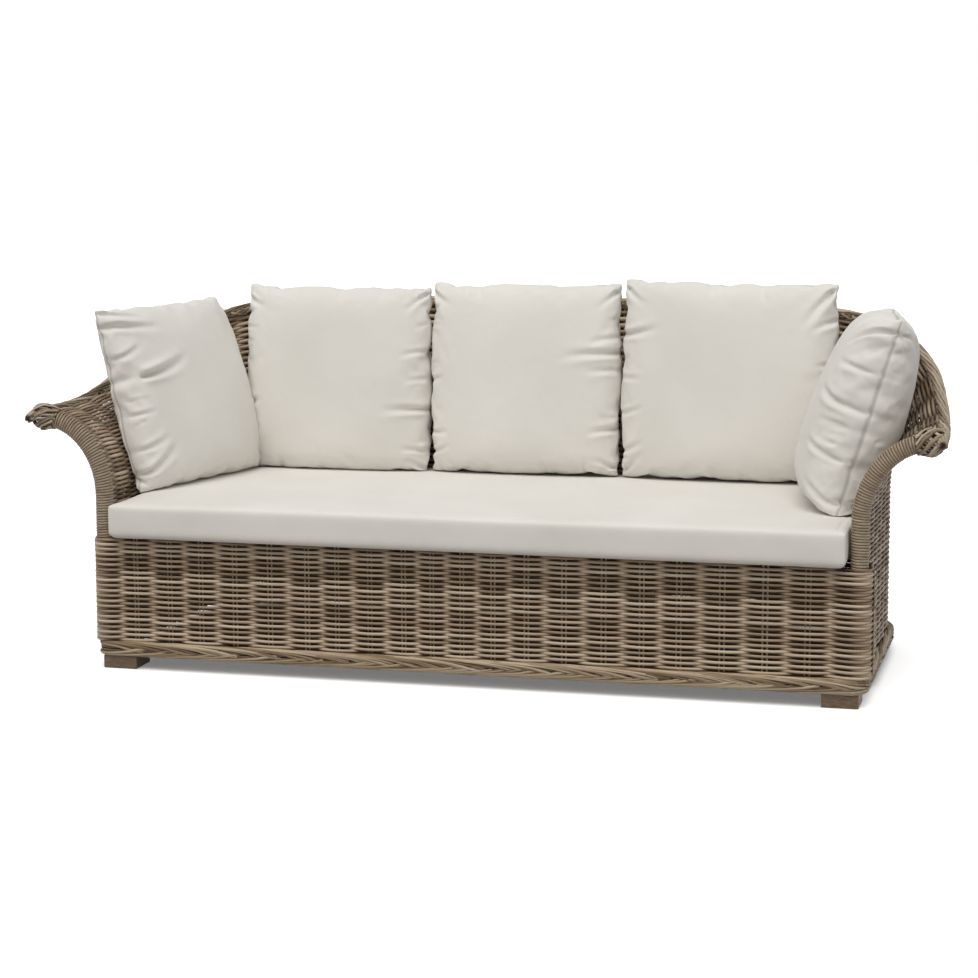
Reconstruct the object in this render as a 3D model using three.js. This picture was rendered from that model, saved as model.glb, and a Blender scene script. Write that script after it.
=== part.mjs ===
// Three-seat rattan garden sofa: a pole frame inside a flared basket shell, with loose cushions.
// Lengths are in millimetres and +Z is up. The front faces -Y, and +X is on the right of a
// person who looks at the front. The shell is drawn from the front face of the bottom border.
import * as THREE from 'three';

// Clearances
const restGap = 0.3; // left between two pieces that touch
const wallGap = 0.5; // between a bent pole and the wall that it follows
const borderGap = 0.9; // between the wall and the round border above it
const slatEndGap = 2; // between a slat's end and the wall
const frontEdgeGap = 1; // between a wing's binding and the first stake of the arm

// Shell in plan, measured on the middle of the wall's thickness
const wallHalfWidth = 929;
const wallFrontY = 22;
const wallBackY = 815;
const wallThickness = 18; // at a stake, where strands pass on both sides of it
const wallValleyThickness = 7; // midway between two stakes, where the strands cross
const backCornerRadius = 180;
const frontCornerRadius = 19;

// Stakes of the weave
const armStakeGaps = 8; // between the middle of the back corner and the wing's front edge
const backStakeGaps = 21; // between the middles of the back corners
const skirtStakeShares = [-0.91, -0.814, -0.727, -0.632, -0.535, -0.432, -0.351, -0.262, -0.17,
  -0.095, -0.015, 0.067, 0.155, 0.253, 0.356, 0.454, 0.548, 0.658, 0.766, 0.872]; // of the half width

// Feet and bottom border
const footWidth = 86;
const footHeight = 33;
const footBevel = 2;
const footInsetX = 41; // from the side wall's middle to the middle of a front foot
const footInsetY = 32; // from the skirt's middle to the middle of a front foot
const backFootReachShare = 0.68; // along the radius of the back corner
const bottomBorderHeight = 36;
const bottomBorderDepth = 22;
const bottomBorderOffset = 11; // outward from the wall's middle
const borderFlatShare = 0.64;
const borderChamferShare = 0.72;
const frontBorderReturn = 20; // how far the front border runs on along the sides

// Poles of the frame
const baseRailRadius = 18;
const seatRailRadius = 14;
const legRadius = 12;
const slatRadius = 10;
const slatCount = 11;
const slatSpanShare = 0.861; // of the wall's half width, to the middle of the last slat
const beamDepthShare = 0.52; // of the shell's depth, from the front
const uprightRadius = 10;
const uprightShares = [-0.775, -0.258, 0.258, 0.775]; // of the wall's half width
const deckHeight = 330; // top of the slats and of the front skirt

// Wing posts: straight up, then bent outward until the tip meets the top border
const postRadius = 17;
const postInsetX = 4; // from the side wall's middle to the post's axis
const postInsetY = 12.5; // from the skirt's middle to the post's axis
const postTipDrop = 9; // below the middle of the top border; the bend is a quarter of an ellipse

// Cane binding round each wing post
const bindingThickness = 2.6;
const bindingWidth = 11;
const bindingTurns = 24;
const bindingStepsPerTurn = 12;
const bindingStart = 12; // above the deck, to the middle of the first turn
const bindingEndInset = 9; // short of the pole's tip

// Flare of the basket: stations run from the middle of the back to the wing's front edge
const wingReach = 175; // outward flare of the border at the wing's front
const wingHeight = 629; // middle of the top border at the wing's front
const backHeight = 861; // middle of the top border at the middle of the back
const kneeHeightBack = 330; // where the wall leaves the vertical
const wingBendRise = 199; // from the knee to the border's middle at the wing's front
const quarterTurn = Math.PI / 2;
const stationShares = [0, 0.279, 0.434, 0.501, 0.559, 0.618, 0.661, 0.711, 0.784, 0.887, 1];
const flareShares = [0.314, 0.3, 0.24, 0.211, 0.229, 0.343, 0.514, 0.697, 0.846, 0.943, 1];
const riseShares = [1, 0.978, 0.948, 0.892, 0.772, 0.638, 0.539, 0.375, 0.125, -0.004, 0];
const turnShares = [0.36, 0.37, 0.38, 0.42, 0.45, 0.52, 0.6, 0.68, 0.78, 0.9, 1];
const kneeShares = [0, 0, 0.05, 0.15, 0.3, 0.5, 0.65, 0.8, 0.92, 1, 1];

// Top border: a woven sleeve round a bent pole, which runs on over the posts' tips
const topBorderRadius = 17;
const topRailRadius = 9;
const topRailGap = 0.4;
const topBorderSides = 8;
const borderTipOverhang = 2; // forward of the binding

// Seat cushion
const seatSideGap = 5; // to each binding
const seatOverhang = 47; // forward of the skirt's middle
const seatBackGap = 3; // to the back uprights
const seatThickness = 94;
const seatCrown = 6;
const seatFrontCorner = 45;
const seatBackCorner = 150;
const seatEdgeRadius = 20;
const seatSideBow = 4;
const seatCrownRun = 70;
const seatCrownInsets = [60, 130, 230];
const seamDepth = 1.5;
const seamHalfAngle = Math.PI / 30;

// Loose pillows. A width is a share of the seat cushion's half length at the back and of its
// depth at the sides, and the other sizes are shares of the pillow height. The place is a share
// of the half length, and from the back a share of the depth. Azimuth turns the face from the
// front towards +X, and lean tips the top backward.
const pillowHeight = 490;
const pillowSidePullShare = 0.02;
const pillowFullness = 0.42;
const pillowCells = 12;
const pillows = [
  {
    name: 'back_cushion_left',
    width: 0.556,
    height: 0.992,
    frontDepth: 0.188,
    backDepth: 0.126,
    place: -0.59,
    fromBack: 0.086,
    azimuth: 1,
    lean: 3,
    roll: 0,
  },
  {
    name: 'back_cushion_middle',
    width: 0.555,
    height: 1,
    frontDepth: 0.188,
    backDepth: 0.122,
    place: -0.029,
    fromBack: 0.075,
    azimuth: 0,
    lean: 4,
    roll: -1,
  },
  {
    name: 'back_cushion_right',
    width: 0.59,
    height: 1.025,
    frontDepth: 0.188,
    backDepth: 0.126,
    place: 0.557,
    fromBack: 0.084,
    azimuth: 0,
    lean: 3,
    roll: 1,
  },
  {
    name: 'side_cushion_left',
    width: 0.614,
    height: 0.931,
    frontDepth: 0.22,
    backDepth: 0.078,
    place: -0.986,
    fromBack: 0.42,
    azimuth: 74,
    lean: 16.1,
    roll: 0,
  },
  {
    name: 'side_cushion_right',
    width: 0.6,
    height: 0.945,
    frontDepth: 0.255,
    backDepth: 0.1,
    place: 0.984,
    fromBack: 0.434,
    azimuth: -75,
    lean: 16.5,
    roll: 0.6,
  },
];

// Facet counts
const poleSides = 12;
const cornerSteps = 8;
const frontCornerSteps = 4;
const backSteps = 8;
const wallArcSteps = 6;
const stakeGapSteps = 2;
const postBendSteps = 9;
const searchSteps = 40;
const tableStep = 1e-3;
const borderSearchShare = 4; // of the top border's radius

// Heights that follow from the sizes above
const borderSearch = borderSearchShare * topBorderRadius;
const baseRailZ = footHeight + restGap + baseRailRadius;
const wallBottomZ = footHeight + restGap + 2 * baseRailRadius + restGap;
const seatRailZ = deckHeight - 2 * slatRadius - restGap - seatRailRadius;
const seatBottomZ = deckHeight + restGap;
const seatTopZ = seatBottomZ + seatThickness;

// Places of the posts and of the seat cushion
const kneeHeightWing = wingHeight - wingBendRise;
const postBendStart = kneeHeightWing;
const postBendRise = wingBendRise - postTipDrop;
const postX = wallHalfWidth - postInsetX;
const postY = wallFrontY + postInsetY;
const bindingRadius = (postRadius + restGap + bindingThickness / 2) / Math.cos(Math.PI / poleSides);
const bindingOuterRadius = bindingRadius + bindingThickness / 2;
const seatHalfLength = postX - bindingOuterRadius - seatSideGap;
const seatFrontY = wallFrontY - seatOverhang;

// Plan distances that follow, all along the wall's middle from the middle of the back
const backCornerX = wallHalfWidth - backCornerRadius;
const backCornerY = wallBackY - backCornerRadius;
const backCornerArc = quarterTurn * backCornerRadius;
const sideStraight = backCornerY - (wallFrontY + frontCornerRadius);
const frontCornerArc = quarterTurn * frontCornerRadius;
const frontStraight = wallHalfWidth - frontCornerRadius;
const halfLoop = backCornerX + backCornerArc + sideStraight + frontCornerArc + frontStraight;
const cornerMiddle = backCornerX + backCornerArc / 2;
const armFrontY = postY + bindingOuterRadius + restGap + frontEdgeGap;
const armEnd = backCornerX + backCornerArc + (backCornerY - armFrontY);

// Finishes
function finish(color, roughness) {
  return new THREE.MeshStandardMaterial({ color, roughness, metalness: 0 });
}

const finishes = {
  foot: () => finish(0x6b5c49, 0.55),
  pole: () => finish(0xa8906c, 0.6),
  weave: () => finish(0x8f8170, 0.7),
  border: () => finish(0xa18f72, 0.65),
  cane: () => finish(0xa09078, 0.6),
  cloth: () => finish(0xe4dfd5, 0.9),
};

const sofa = new THREE.Group();

function addPiece(name, geometry, finishName) {
  const mesh = new THREE.Mesh(geometry, finishes[finishName]());
  mesh.name = name;
  sofa.add(mesh);
  return mesh;
}

// Turns a closed triangle list so that its faces point out
function facingOut(geometry) {
  const flat = geometry.index ? geometry.toNonIndexed() : geometry;
  const place = flat.getAttribute('position');
  const a = new THREE.Vector3();
  const b = new THREE.Vector3();
  const c = new THREE.Vector3();
  let volume = 0;
  for (let i = 0; i < place.count; i += 3) {
    a.fromBufferAttribute(place, i);
    b.fromBufferAttribute(place, i + 1);
    c.fromBufferAttribute(place, i + 2);
    volume += a.dot(b.cross(c));
  }
  if (volume < 0) {
    for (let i = 0; i < place.count; i += 3) {
      b.fromBufferAttribute(place, i + 1);
      c.fromBufferAttribute(place, i + 2);
      place.setXYZ(i + 1, c.x, c.y, c.z);
      place.setXYZ(i + 2, b.x, b.y, b.z);
    }
  }
  const closed = new THREE.BufferGeometry();
  closed.setAttribute('position', place);
  closed.computeVertexNormals();
  return closed;
}

function fromTriangles(points) {
  return facingOut(new THREE.BufferGeometry().setFromPoints(points));
}

function quad(points, a, b, c, d) {
  points.push(a, b, c, a, c, d);
}

// A smooth curve through a table, read at one place
function tableValue(shares, values, at) {
  const last = shares.length - 1;
  const x = Math.min(Math.max(at, shares[0]), shares[last]);
  let k = 0;
  while (k < last - 1 && x > shares[k + 1]) k += 1;
  const slope = (i) => {
    const low = Math.max(i - 1, 0);
    const high = Math.min(i + 1, last);
    return (values[high] - values[low]) / (shares[high] - shares[low]);
  };
  const width = shares[k + 1] - shares[k];
  const t = (x - shares[k]) / width;
  const rise = values[k + 1] - values[k];
  const startSlope = slope(k) * width;
  const endSlope = slope(k + 1) * width;
  const cubic = startSlope + endSlope - 2 * rise;
  const square = 3 * rise - 2 * startSlope - endSlope;
  return values[k] + t * (startSlope + t * (square + t * cubic));
}

// The wall's plan line: distance from the back's middle, positive towards the right arm
function planPoint(distance, offset = 0) {
  const side = distance < 0 ? -1 : 1;
  let left = Math.abs(distance);
  let x;
  let y;
  let turn;
  if (left <= backCornerX) {
    turn = 0;
    x = left;
    y = wallBackY;
  } else if (left <= backCornerX + backCornerArc) {
    turn = (left - backCornerX) / backCornerRadius;
    x = backCornerX + backCornerRadius * Math.sin(turn);
    y = backCornerY + backCornerRadius * Math.cos(turn);
  } else if (left <= backCornerX + backCornerArc + sideStraight) {
    turn = quarterTurn;
    x = wallHalfWidth;
    y = backCornerY - (left - backCornerX - backCornerArc);
  } else if (left <= halfLoop - frontStraight) {
    left -= backCornerX + backCornerArc + sideStraight;
    turn = quarterTurn + left / frontCornerRadius;
    x = frontStraight + frontCornerRadius * Math.sin(turn);
    y = wallFrontY + frontCornerRadius + frontCornerRadius * Math.cos(turn);
  } else {
    turn = Math.PI;
    x = halfLoop - left;
    y = wallFrontY;
  }
  const outX = side * Math.sin(turn);
  const outY = Math.cos(turn);
  return { x: side * x + outX * offset, y: y + outY * offset, outX, outY };
}

// The wall's section at one place: upright to the knee, then leaning out on an elliptic arc
function wallSection(distance) {
  const share = Math.abs(distance) / armEnd;
  const rise = tableValue(stationShares, riseShares, share);
  const knee = tableValue(stationShares, kneeShares, share);
  return {
    flare: wingReach * tableValue(stationShares, flareShares, share),
    top: wingHeight + (backHeight - wingHeight) * rise,
    turn: quarterTurn * tableValue(stationShares, turnShares, share),
    knee: kneeHeightBack + (kneeHeightWing - kneeHeightBack) * knee,
  };
}

// A point of the wall's middle: level 0 is the bottom, 1 the knee and 2 the border's middle
function wallMiddle(distance, level) {
  const plan = planPoint(distance);
  const section = wallSection(distance);
  let out = 0;
  let z = wallBottomZ + (section.knee - wallBottomZ) * level;
  if (level > 1) {
    const turn = section.turn * (level - 1);
    out = (section.flare * (1 - Math.cos(turn))) / (1 - Math.cos(section.turn));
    z = section.knee + ((section.top - section.knee) * Math.sin(turn)) / Math.sin(section.turn);
  }
  return new THREE.Vector3(plan.x + plan.outX * out, plan.y + plan.outY * out, z);
}

// The same point moved along the wall's own normal, outward when the offset is positive
function wallPoint(distance, level, offset) {
  const middle = wallMiddle(distance, level);
  const step = armEnd * tableStep;
  const along = wallMiddle(distance + step, level).sub(wallMiddle(distance - step, level));
  const above = Math.min(level + tableStep, 2);
  const below = Math.max(level - tableStep, 0);
  const up = wallMiddle(distance, above).sub(wallMiddle(distance, below));
  const normal = along.cross(up).normalize();
  return middle.addScaledVector(normal, -offset);
}

// The highest level at which the wall's middle keeps a given distance from the border's middle
function levelBelowBorder(distance, clear) {
  const nearby = evenly(distance - borderSearch, distance + borderSearch, searchSteps);
  const border = nearby.map((place) => wallMiddle(place, 2));
  let low = 1;
  let high = 2;
  for (let i = 0; i < searchSteps; i += 1) {
    const level = (low + high) / 2;
    const point = wallMiddle(distance, level);
    const near = Math.min(...border.map((other) => other.distanceTo(point)));
    if (near > clear) low = level;
    else high = level;
  }
  return low;
}

function levelAtHeight(distance, height) {
  return (height - wallBottomZ) / (wallSection(distance).knee - wallBottomZ);
}

// Even stations from one distance to another
function evenly(from, to, steps) {
  const list = [];
  for (let i = 0; i <= steps; i += 1) list.push(from + ((to - from) * i) / steps);
  return list;
}

function chain(...lists) {
  return lists.reduce((all, list) => all.concat(list.slice(1)), [lists[0][0]]);
}

// A path whose stations are chosen places, so that neighbouring poles bend at the same places
class StationPath extends THREE.Curve {
  constructor(route, stations) {
    super();
    this.route = route;
    this.stations = stations;
  }

  placeAt(t) {
    const x = t * (this.stations.length - 1);
    const k = Math.min(Math.floor(x), this.stations.length - 2);
    return this.stations[k] + (this.stations[k + 1] - this.stations[k]) * (x - k);
  }

  getPoint(t) {
    return this.route(this.placeAt(t));
  }

  getTangent(t) {
    const span = this.stations[this.stations.length - 1] - this.stations[0];
    const place = this.placeAt(t);
    const ahead = this.route(place + span * tableStep);
    return ahead.sub(this.route(place - span * tableStep)).normalize();
  }

  getUtoTmapping(u) {
    return u;
  }
}

function circleShape(radius, sides) {
  const points = [];
  for (let i = 0; i < sides; i += 1) {
    const angle = (2 * Math.PI * i) / sides;
    points.push(new THREE.Vector2(radius * Math.cos(angle), radius * Math.sin(angle)));
  }
  return new THREE.Shape(points);
}

function sweep(shape, route, stations) {
  const geometry = new THREE.ExtrudeGeometry(shape, {
    steps: stations.length - 1,
    bevelEnabled: false,
    extrudePath: new StationPath(route, stations),
  });
  return facingOut(geometry);
}

function bentPole(name, radius, route, stations, finishName = 'pole') {
  addPiece(name, sweep(circleShape(radius, poleSides), route, stations), finishName);
}

// A straight round pole between two points
function straightPole(name, radius, from, to) {
  const length = from.distanceTo(to);
  const geometry = new THREE.CylinderGeometry(radius, radius, length, poleSides);
  const mesh = addPiece(name, facingOut(geometry), 'pole');
  mesh.position.copy(from).lerp(to, 0.5);
  const direction = to.clone().sub(from).normalize();
  mesh.quaternion.setFromUnitVectors(new THREE.Vector3(0, 1, 0), direction);
}

function at(x, y, z) {
  return new THREE.Vector3(x, y, z);
}

// Stations along the plan line, shared by the bottom border and the rails
const halfGap = restGap / 2;
const cornerEnd = backCornerX + backCornerArc;
const outerCorner = evenly(cornerMiddle + halfGap, cornerEnd, cornerSteps / 2);
const innerCorner = evenly(backCornerX, cornerMiddle - halfGap, cornerSteps / 2);
const backHalf = chain(evenly(0, backCornerX, backSteps / 2), innerCorner);
const backStations = chain(backHalf.map((d) => -d).reverse(), backHalf);

// Stations at every stake and midway to the next, shared by the walls and the top border
const armWeave = evenly(cornerMiddle + halfGap, armEnd, armStakeGaps * stakeGapSteps);
const backWeave = evenly(halfGap - cornerMiddle, cornerMiddle - halfGap, backStakeGaps * stakeGapSteps);

function mirrored(stations, side) {
  return side > 0 ? stations : stations.map((d) => -d);
}

function eachSide(build) {
  build(-1, 'left');
  build(1, 'right');
}

// Feet: bevelled hardwood blocks under the base ring
function addFoot(name, x, y) {
  const half = footWidth / 2 - footBevel;
  const outline = new THREE.Shape([
    new THREE.Vector2(-half, -half),
    new THREE.Vector2(half, -half),
    new THREE.Vector2(half, half),
    new THREE.Vector2(-half, half),
  ]);
  const geometry = new THREE.ExtrudeGeometry(outline, {
    depth: footHeight - 2 * footBevel,
    bevelThickness: footBevel,
    bevelSize: footBevel,
    bevelSegments: 1,
  });
  const mesh = addPiece(name, facingOut(geometry), 'foot');
  mesh.position.set(x, y, footBevel);
}

function addFeet() {
  const reach = backCornerRadius * backFootReachShare * Math.SQRT1_2;
  eachSide((side, word) => {
    addFoot(`foot_front_${word}`, side * (wallHalfWidth - footInsetX), wallFrontY + footInsetY);
    addFoot(`foot_back_${word}`, side * (backCornerX + reach), backCornerY + reach);
  });
}

// Base ring: one straight pole in front, bent poles round the sides and the back
const borderInner = bottomBorderOffset - bottomBorderDepth / 2;
const baseRailOffset = borderInner - wallGap - frontEdgeGap - baseRailRadius;
const baseFrontY = wallFrontY - baseRailOffset;
const baseBackY = wallBackY + baseRailOffset;

function ringRoute(offset, z) {
  return (distance) => {
    const plan = planPoint(distance, offset);
    return at(plan.x, plan.y, z);
  };
}

function stationsTo(frontY) {
  const end = backCornerX + backCornerArc + (backCornerY - frontY);
  return chain(outerCorner, [cornerEnd, end]);
}

function addBaseRing() {
  const halfFront = frontStraight + frontCornerRadius / 4;
  straightPole('base_rail_front', baseRailRadius, at(-halfFront, baseFrontY, baseRailZ),
    at(halfFront, baseFrontY, baseRailZ));
  const sideFrontY = baseFrontY + baseRailRadius + restGap;
  eachSide((side, word) => {
    const stations = mirrored(stationsTo(sideFrontY), side);
    bentPole(`base_rail_${word}`, baseRailRadius, ringRoute(baseRailOffset, baseRailZ), stations);
  });
  bentPole('base_rail_back', baseRailRadius, ringRoute(baseRailOffset, baseRailZ), backStations);
  straightPole('base_cross_rail', baseRailRadius,
    at(0, baseFrontY + baseRailRadius + restGap, baseRailZ),
    at(0, baseBackY - baseRailRadius - restGap, baseRailZ));
}

// Seat ring, centre beam and the short legs that carry them
const seatRailOffset = -(wallThickness / 2 + wallGap + seatRailRadius);
const seatFrontRailY = wallFrontY - seatRailOffset;
const seatBackRailY = wallBackY + seatRailOffset;
const beamY = wallFrontY + (wallBackY - wallFrontY) * beamDepthShare;

function addSeatRing() {
  const halfFront = postX - postRadius - restGap;
  straightPole('seat_rail_front', seatRailRadius, at(-halfFront, seatFrontRailY, seatRailZ),
    at(halfFront, seatFrontRailY, seatRailZ));
  const sideFrontY = seatFrontRailY + seatRailRadius + restGap;
  eachSide((side, word) => {
    const stations = mirrored(stationsTo(sideFrontY), side);
    bentPole(`seat_rail_${word}`, seatRailRadius, ringRoute(seatRailOffset, seatRailZ), stations);
  });
  bentPole('seat_rail_back', seatRailRadius, ringRoute(seatRailOffset, seatRailZ), backStations);
  const halfBeam = wallHalfWidth + seatRailOffset - seatRailRadius - restGap;
  straightPole('seat_beam', seatRailRadius, at(-halfBeam, beamY, seatRailZ),
    at(halfBeam, beamY, seatRailZ));
}

function addLeg(name, x, y) {
  straightPole(name, legRadius, at(x, y, wallBottomZ),
    at(x, y, seatRailZ - seatRailRadius - restGap));
}

function addLegs() {
  addLeg('front_middle_leg', 0, seatFrontRailY);
  addLeg('back_middle_leg', 0, seatBackRailY);
  addLeg('beam_leg', 0, beamY);
  eachSide((side, word) => {
    const corner = planPoint(side * (cornerMiddle + legRadius), seatRailOffset);
    addLeg(`corner_leg_${word}`, corner.x, corner.y);
  });
}

// Seat slats: round poles from the front to the back, ending short of the rounded wall
function slatEndY(x) {
  const past = Math.max(Math.abs(x) + slatRadius - backCornerX, 0);
  const inner = backCornerRadius - wallThickness / 2;
  return backCornerY + Math.sqrt(inner * inner - past * past) - slatEndGap;
}

function addSlats() {
  const span = wallHalfWidth * slatSpanShare;
  const z = deckHeight - slatRadius;
  const frontY = wallFrontY + wallThickness / 2 + restGap;
  evenly(-span, span, slatCount - 1).forEach((x, i) => {
    const number = String(i + 1).padStart(2, '0');
    straightPole(`seat_slat_${number}`, slatRadius, at(x, frontY, z), at(x, slatEndY(x), z));
  });
}

// Wing post: place along the pole, 0 at the foot, 1 where the bend starts and 2 at the tip
const postBendReach = wallHalfWidth + wingReach - topBorderRadius - borderGap - postX;

function postRoute(side) {
  return (place) => {
    const bend = Math.min(Math.max(place - 1, 0), 1) * quarterTurn;
    const below = place < 1 ? (postBendStart - wallBottomZ) * (place - 1) : 0;
    const x = postX + postBendReach * (1 - Math.cos(bend));
    return at(side * x, postY, postBendStart + below + postBendRise * Math.sin(bend));
  };
}

function addWingPosts() {
  const stations = chain([0, 1], evenly(1, 2, postBendSteps));
  eachSide((side, word) => {
    bentPole(`wing_post_${word}`, postRadius, postRoute(side), stations);
  });
}

// Rings of points joined into one closed body, with flat ends
function joinRings(rings) {
  const points = [];
  const count = rings[0].length;
  for (let i = 0; i + 1 < rings.length; i += 1) {
    for (let k = 0; k < count; k += 1) {
      const next = (k + 1) % count;
      quad(points, rings[i][k], rings[i][next], rings[i + 1][next], rings[i + 1][k]);
    }
  }
  const first = rings[0];
  const last = rings[rings.length - 1];
  for (let k = 1; k + 1 < count; k += 1) {
    points.push(first[0], first[k + 1], first[k]);
    points.push(last[0], last[k], last[k + 1]);
  }
  return fromTriangles(points);
}

// Cane binding: one flat strip wound round the post from the deck to the wing's tip
function bindingRings(side) {
  const route = postRoute(side);
  const deckPlace = (deckHeight + bindingStart - wallBottomZ) / (postBendStart - wallBottomZ);
  const places = evenly(deckPlace, 2, bindingTurns * bindingStepsPerTurn);
  const runs = [0];
  for (let i = 1; i < places.length; i += 1) {
    runs.push(runs[i - 1] + route(places[i - 1]).distanceTo(route(places[i])));
  }
  const total = runs[runs.length - 1] - bindingEndInset;
  const steps = bindingTurns * bindingStepsPerTurn;
  const rings = [];
  let k = 0;
  for (let i = 0; i <= steps; i += 1) {
    const run = (total * i) / steps;
    while (runs[k + 1] < run) k += 1;
    const share = (run - runs[k]) / (runs[k + 1] - runs[k]);
    const place = places[k] + (places[k + 1] - places[k]) * share;
    const along = route(place + tableStep).sub(route(place - tableStep)).normalize();
    const sideways = at(0, 1, 0);
    const across = sideways.clone().cross(along);
    const angle = (2 * Math.PI * i) / bindingStepsPerTurn;
    const outward = across.multiplyScalar(Math.cos(angle)).addScaledVector(sideways, Math.sin(angle));
    const middle = route(place).addScaledVector(outward, bindingRadius);
    const ring = [];
    for (const [wide, deep] of [[-1, -1], [1, -1], [1, 1], [-1, 1]]) {
      ring.push(middle.clone()
        .addScaledVector(along, (wide * bindingWidth) / 2)
        .addScaledVector(outward, (deep * bindingThickness) / 2));
    }
    rings.push(ring);
  }
  return rings;
}

function leastTurnGap(rings) {
  let least = Infinity;
  for (let i = 0; i + bindingStepsPerTurn < rings.length; i += 1) {
    const above = rings[i + bindingStepsPerTurn];
    least = Math.min(least, rings[i][1].distanceTo(above[0]), rings[i][2].distanceTo(above[3]));
  }
  return least;
}

function addBindings() {
  eachSide((side, word) => {
    const rings = bindingRings(side);
    console.log(`wing_binding_${word}: least gap between turns ${leastTurnGap(rings).toFixed(2)} mm`);
    addPiece(`wing_binding_${word}`, joinRings(rings), 'cane');
  });
}

// Half the wall's thickness at a station: every second station stands at a stake
function halfWallAt(station) {
  return (station % stakeGapSteps === 0 ? wallThickness : wallValleyThickness) / 2;
}

// Woven walls: closed shells between two faces, each a grid of points that swells at every stake
function wallGeometry(stations, levelsAt) {
  const face = (side) => stations.map((distance, i) =>
    levelsAt(distance).map((level) => wallPoint(distance, level, side * halfWallAt(i))));
  const outer = face(1);
  const inner = face(-1);
  const lastColumn = stations.length - 1;
  const lastRow = outer[0].length - 1;
  const points = [];
  for (let i = 0; i < lastColumn; i += 1) {
    for (let k = 0; k < lastRow; k += 1) {
      quad(points, outer[i][k], outer[i + 1][k], outer[i + 1][k + 1], outer[i][k + 1]);
      quad(points, inner[i][k], inner[i][k + 1], inner[i + 1][k + 1], inner[i + 1][k]);
    }
    quad(points, outer[i][0], inner[i][0], inner[i + 1][0], outer[i + 1][0]);
    quad(points, outer[i][lastRow], outer[i + 1][lastRow], inner[i + 1][lastRow], inner[i][lastRow]);
  }
  for (let k = 0; k < lastRow; k += 1) {
    quad(points, outer[0][k], outer[0][k + 1], inner[0][k + 1], inner[0][k]);
    const a = outer[lastColumn];
    const b = inner[lastColumn];
    quad(points, a[k], b[k], b[k + 1], a[k + 1]);
  }
  return fromTriangles(points);
}

function flaredLevels(distance) {
  const top = levelBelowBorder(distance, topBorderRadius + borderGap);
  return chain([0, 1], evenly(1, top, wallArcSteps));
}

function addSkirt() {
  const end = postX - postRadius - restGap;
  const stakes = [-end, ...skirtStakeShares.map((share) => share * wallHalfWidth), end];
  const stations = chain(...stakes.slice(1).map((x, i) => evenly(stakes[i], x, stakeGapSteps)));
  const rings = stations.map((x, i) => {
    const frontY = wallFrontY - halfWallAt(i);
    const backY = wallFrontY + halfWallAt(i);
    return [at(x, frontY, wallBottomZ), at(x, backY, wallBottomZ), at(x, backY, deckHeight),
      at(x, frontY, deckHeight)];
  });
  addPiece('wall_front_skirt', joinRings(rings), 'weave');
}

function addWalls() {
  addSkirt();
  eachSide((side, word) => {
    const geometry = wallGeometry(mirrored(armWeave, side), flaredLevels);
    addPiece(`wall_arm_${word}`, geometry, 'weave');
  });
  addPiece('wall_back', wallGeometry(backWeave, flaredLevels), 'weave');
}

// Uprights stand on the back seat rail and follow the leaning wall to the border
function addUprights() {
  uprightShares.forEach((share, i) => {
    const distance = wallHalfWidth * share;
    const low = levelAtHeight(distance, seatRailZ + seatRailRadius + restGap);
    const high = levelBelowBorder(distance, topBorderRadius + borderGap);
    const route = (level) => wallPoint(distance, level, uprightOffset);
    const stations = chain([low, 1], evenly(1, high, wallArcSteps));
    bentPole(`back_upright_${i + 1}`, uprightRadius, route, stations);
  });
}

// Top border and its core, from wing tip to wing tip in three lengths
function topBorderPoint(distance) {
  const past = Math.max(Math.abs(distance) - armEnd, 0);
  const kept = Math.min(Math.max(distance, -armEnd), armEnd);
  const point = wallMiddle(kept, 2);
  point.y -= past;
  return point;
}

function addTopBorder() {
  const tipRun = armFrontY - (postY - bindingOuterRadius) + borderTipOverhang;
  const arm = chain(armWeave, [armEnd, armEnd + tipRun]);
  const sleeve = circleShape(topBorderRadius, topBorderSides);
  sleeve.holes.push(circleShape(topRailRadius + topRailGap, topBorderSides));
  const core = circleShape(topRailRadius, topBorderSides);
  const lengths = { left: mirrored(arm, -1), back: backWeave, right: arm };
  for (const [word, stations] of Object.entries(lengths)) {
    addPiece(`top_rail_${word}`, sweep(core, topBorderPoint, stations), 'pole');
    addPiece(`top_border_${word}`, sweep(sleeve, topBorderPoint, stations), 'border');
  }
}

// Bottom border: a flat-topped braid that stands proud of the walls
function borderShape() {
  const high = bottomBorderHeight / 2;
  const deep = bottomBorderDepth / 2;
  const flat = deep * borderFlatShare;
  const chamfer = high * borderChamferShare;
  return new THREE.Shape([
    new THREE.Vector2(-high, -flat),
    new THREE.Vector2(-chamfer, -deep),
    new THREE.Vector2(chamfer, -deep),
    new THREE.Vector2(high, -flat),
    new THREE.Vector2(high, flat),
    new THREE.Vector2(chamfer, deep),
    new THREE.Vector2(-chamfer, deep),
    new THREE.Vector2(-high, flat),
  ]);
}

function addBottomBorder() {
  const z = footHeight + restGap + bottomBorderHeight / 2;
  const shape = borderShape();
  const route = ringRoute(bottomBorderOffset, z);
  const sideEnd = halfLoop - frontStraight - frontCornerArc - frontBorderReturn;
  eachSide((side, word) => {
    const stations = chain(outerCorner, [cornerEnd, sideEnd - halfGap]);
    addPiece(`bottom_border_${word}`, sweep(shape, route, mirrored(stations, side)), 'border');
  });
  addPiece('bottom_border_back', sweep(shape, route, backStations), 'border');
  const frontRoute = (place) => route(place < 0 ? -halfLoop - place : halfLoop - place);
  const turned = frontStraight + frontCornerArc;
  const corner = evenly(frontStraight, turned, frontCornerSteps);
  const rightHalf = chain([0, frontStraight], corner, [turned, turned + frontBorderReturn - halfGap]);
  const stations = chain(rightHalf.map((d) => -d).reverse(), rightHalf);
  addPiece('bottom_border_front', sweep(shape, frontRoute, stations), 'border');
}

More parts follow.
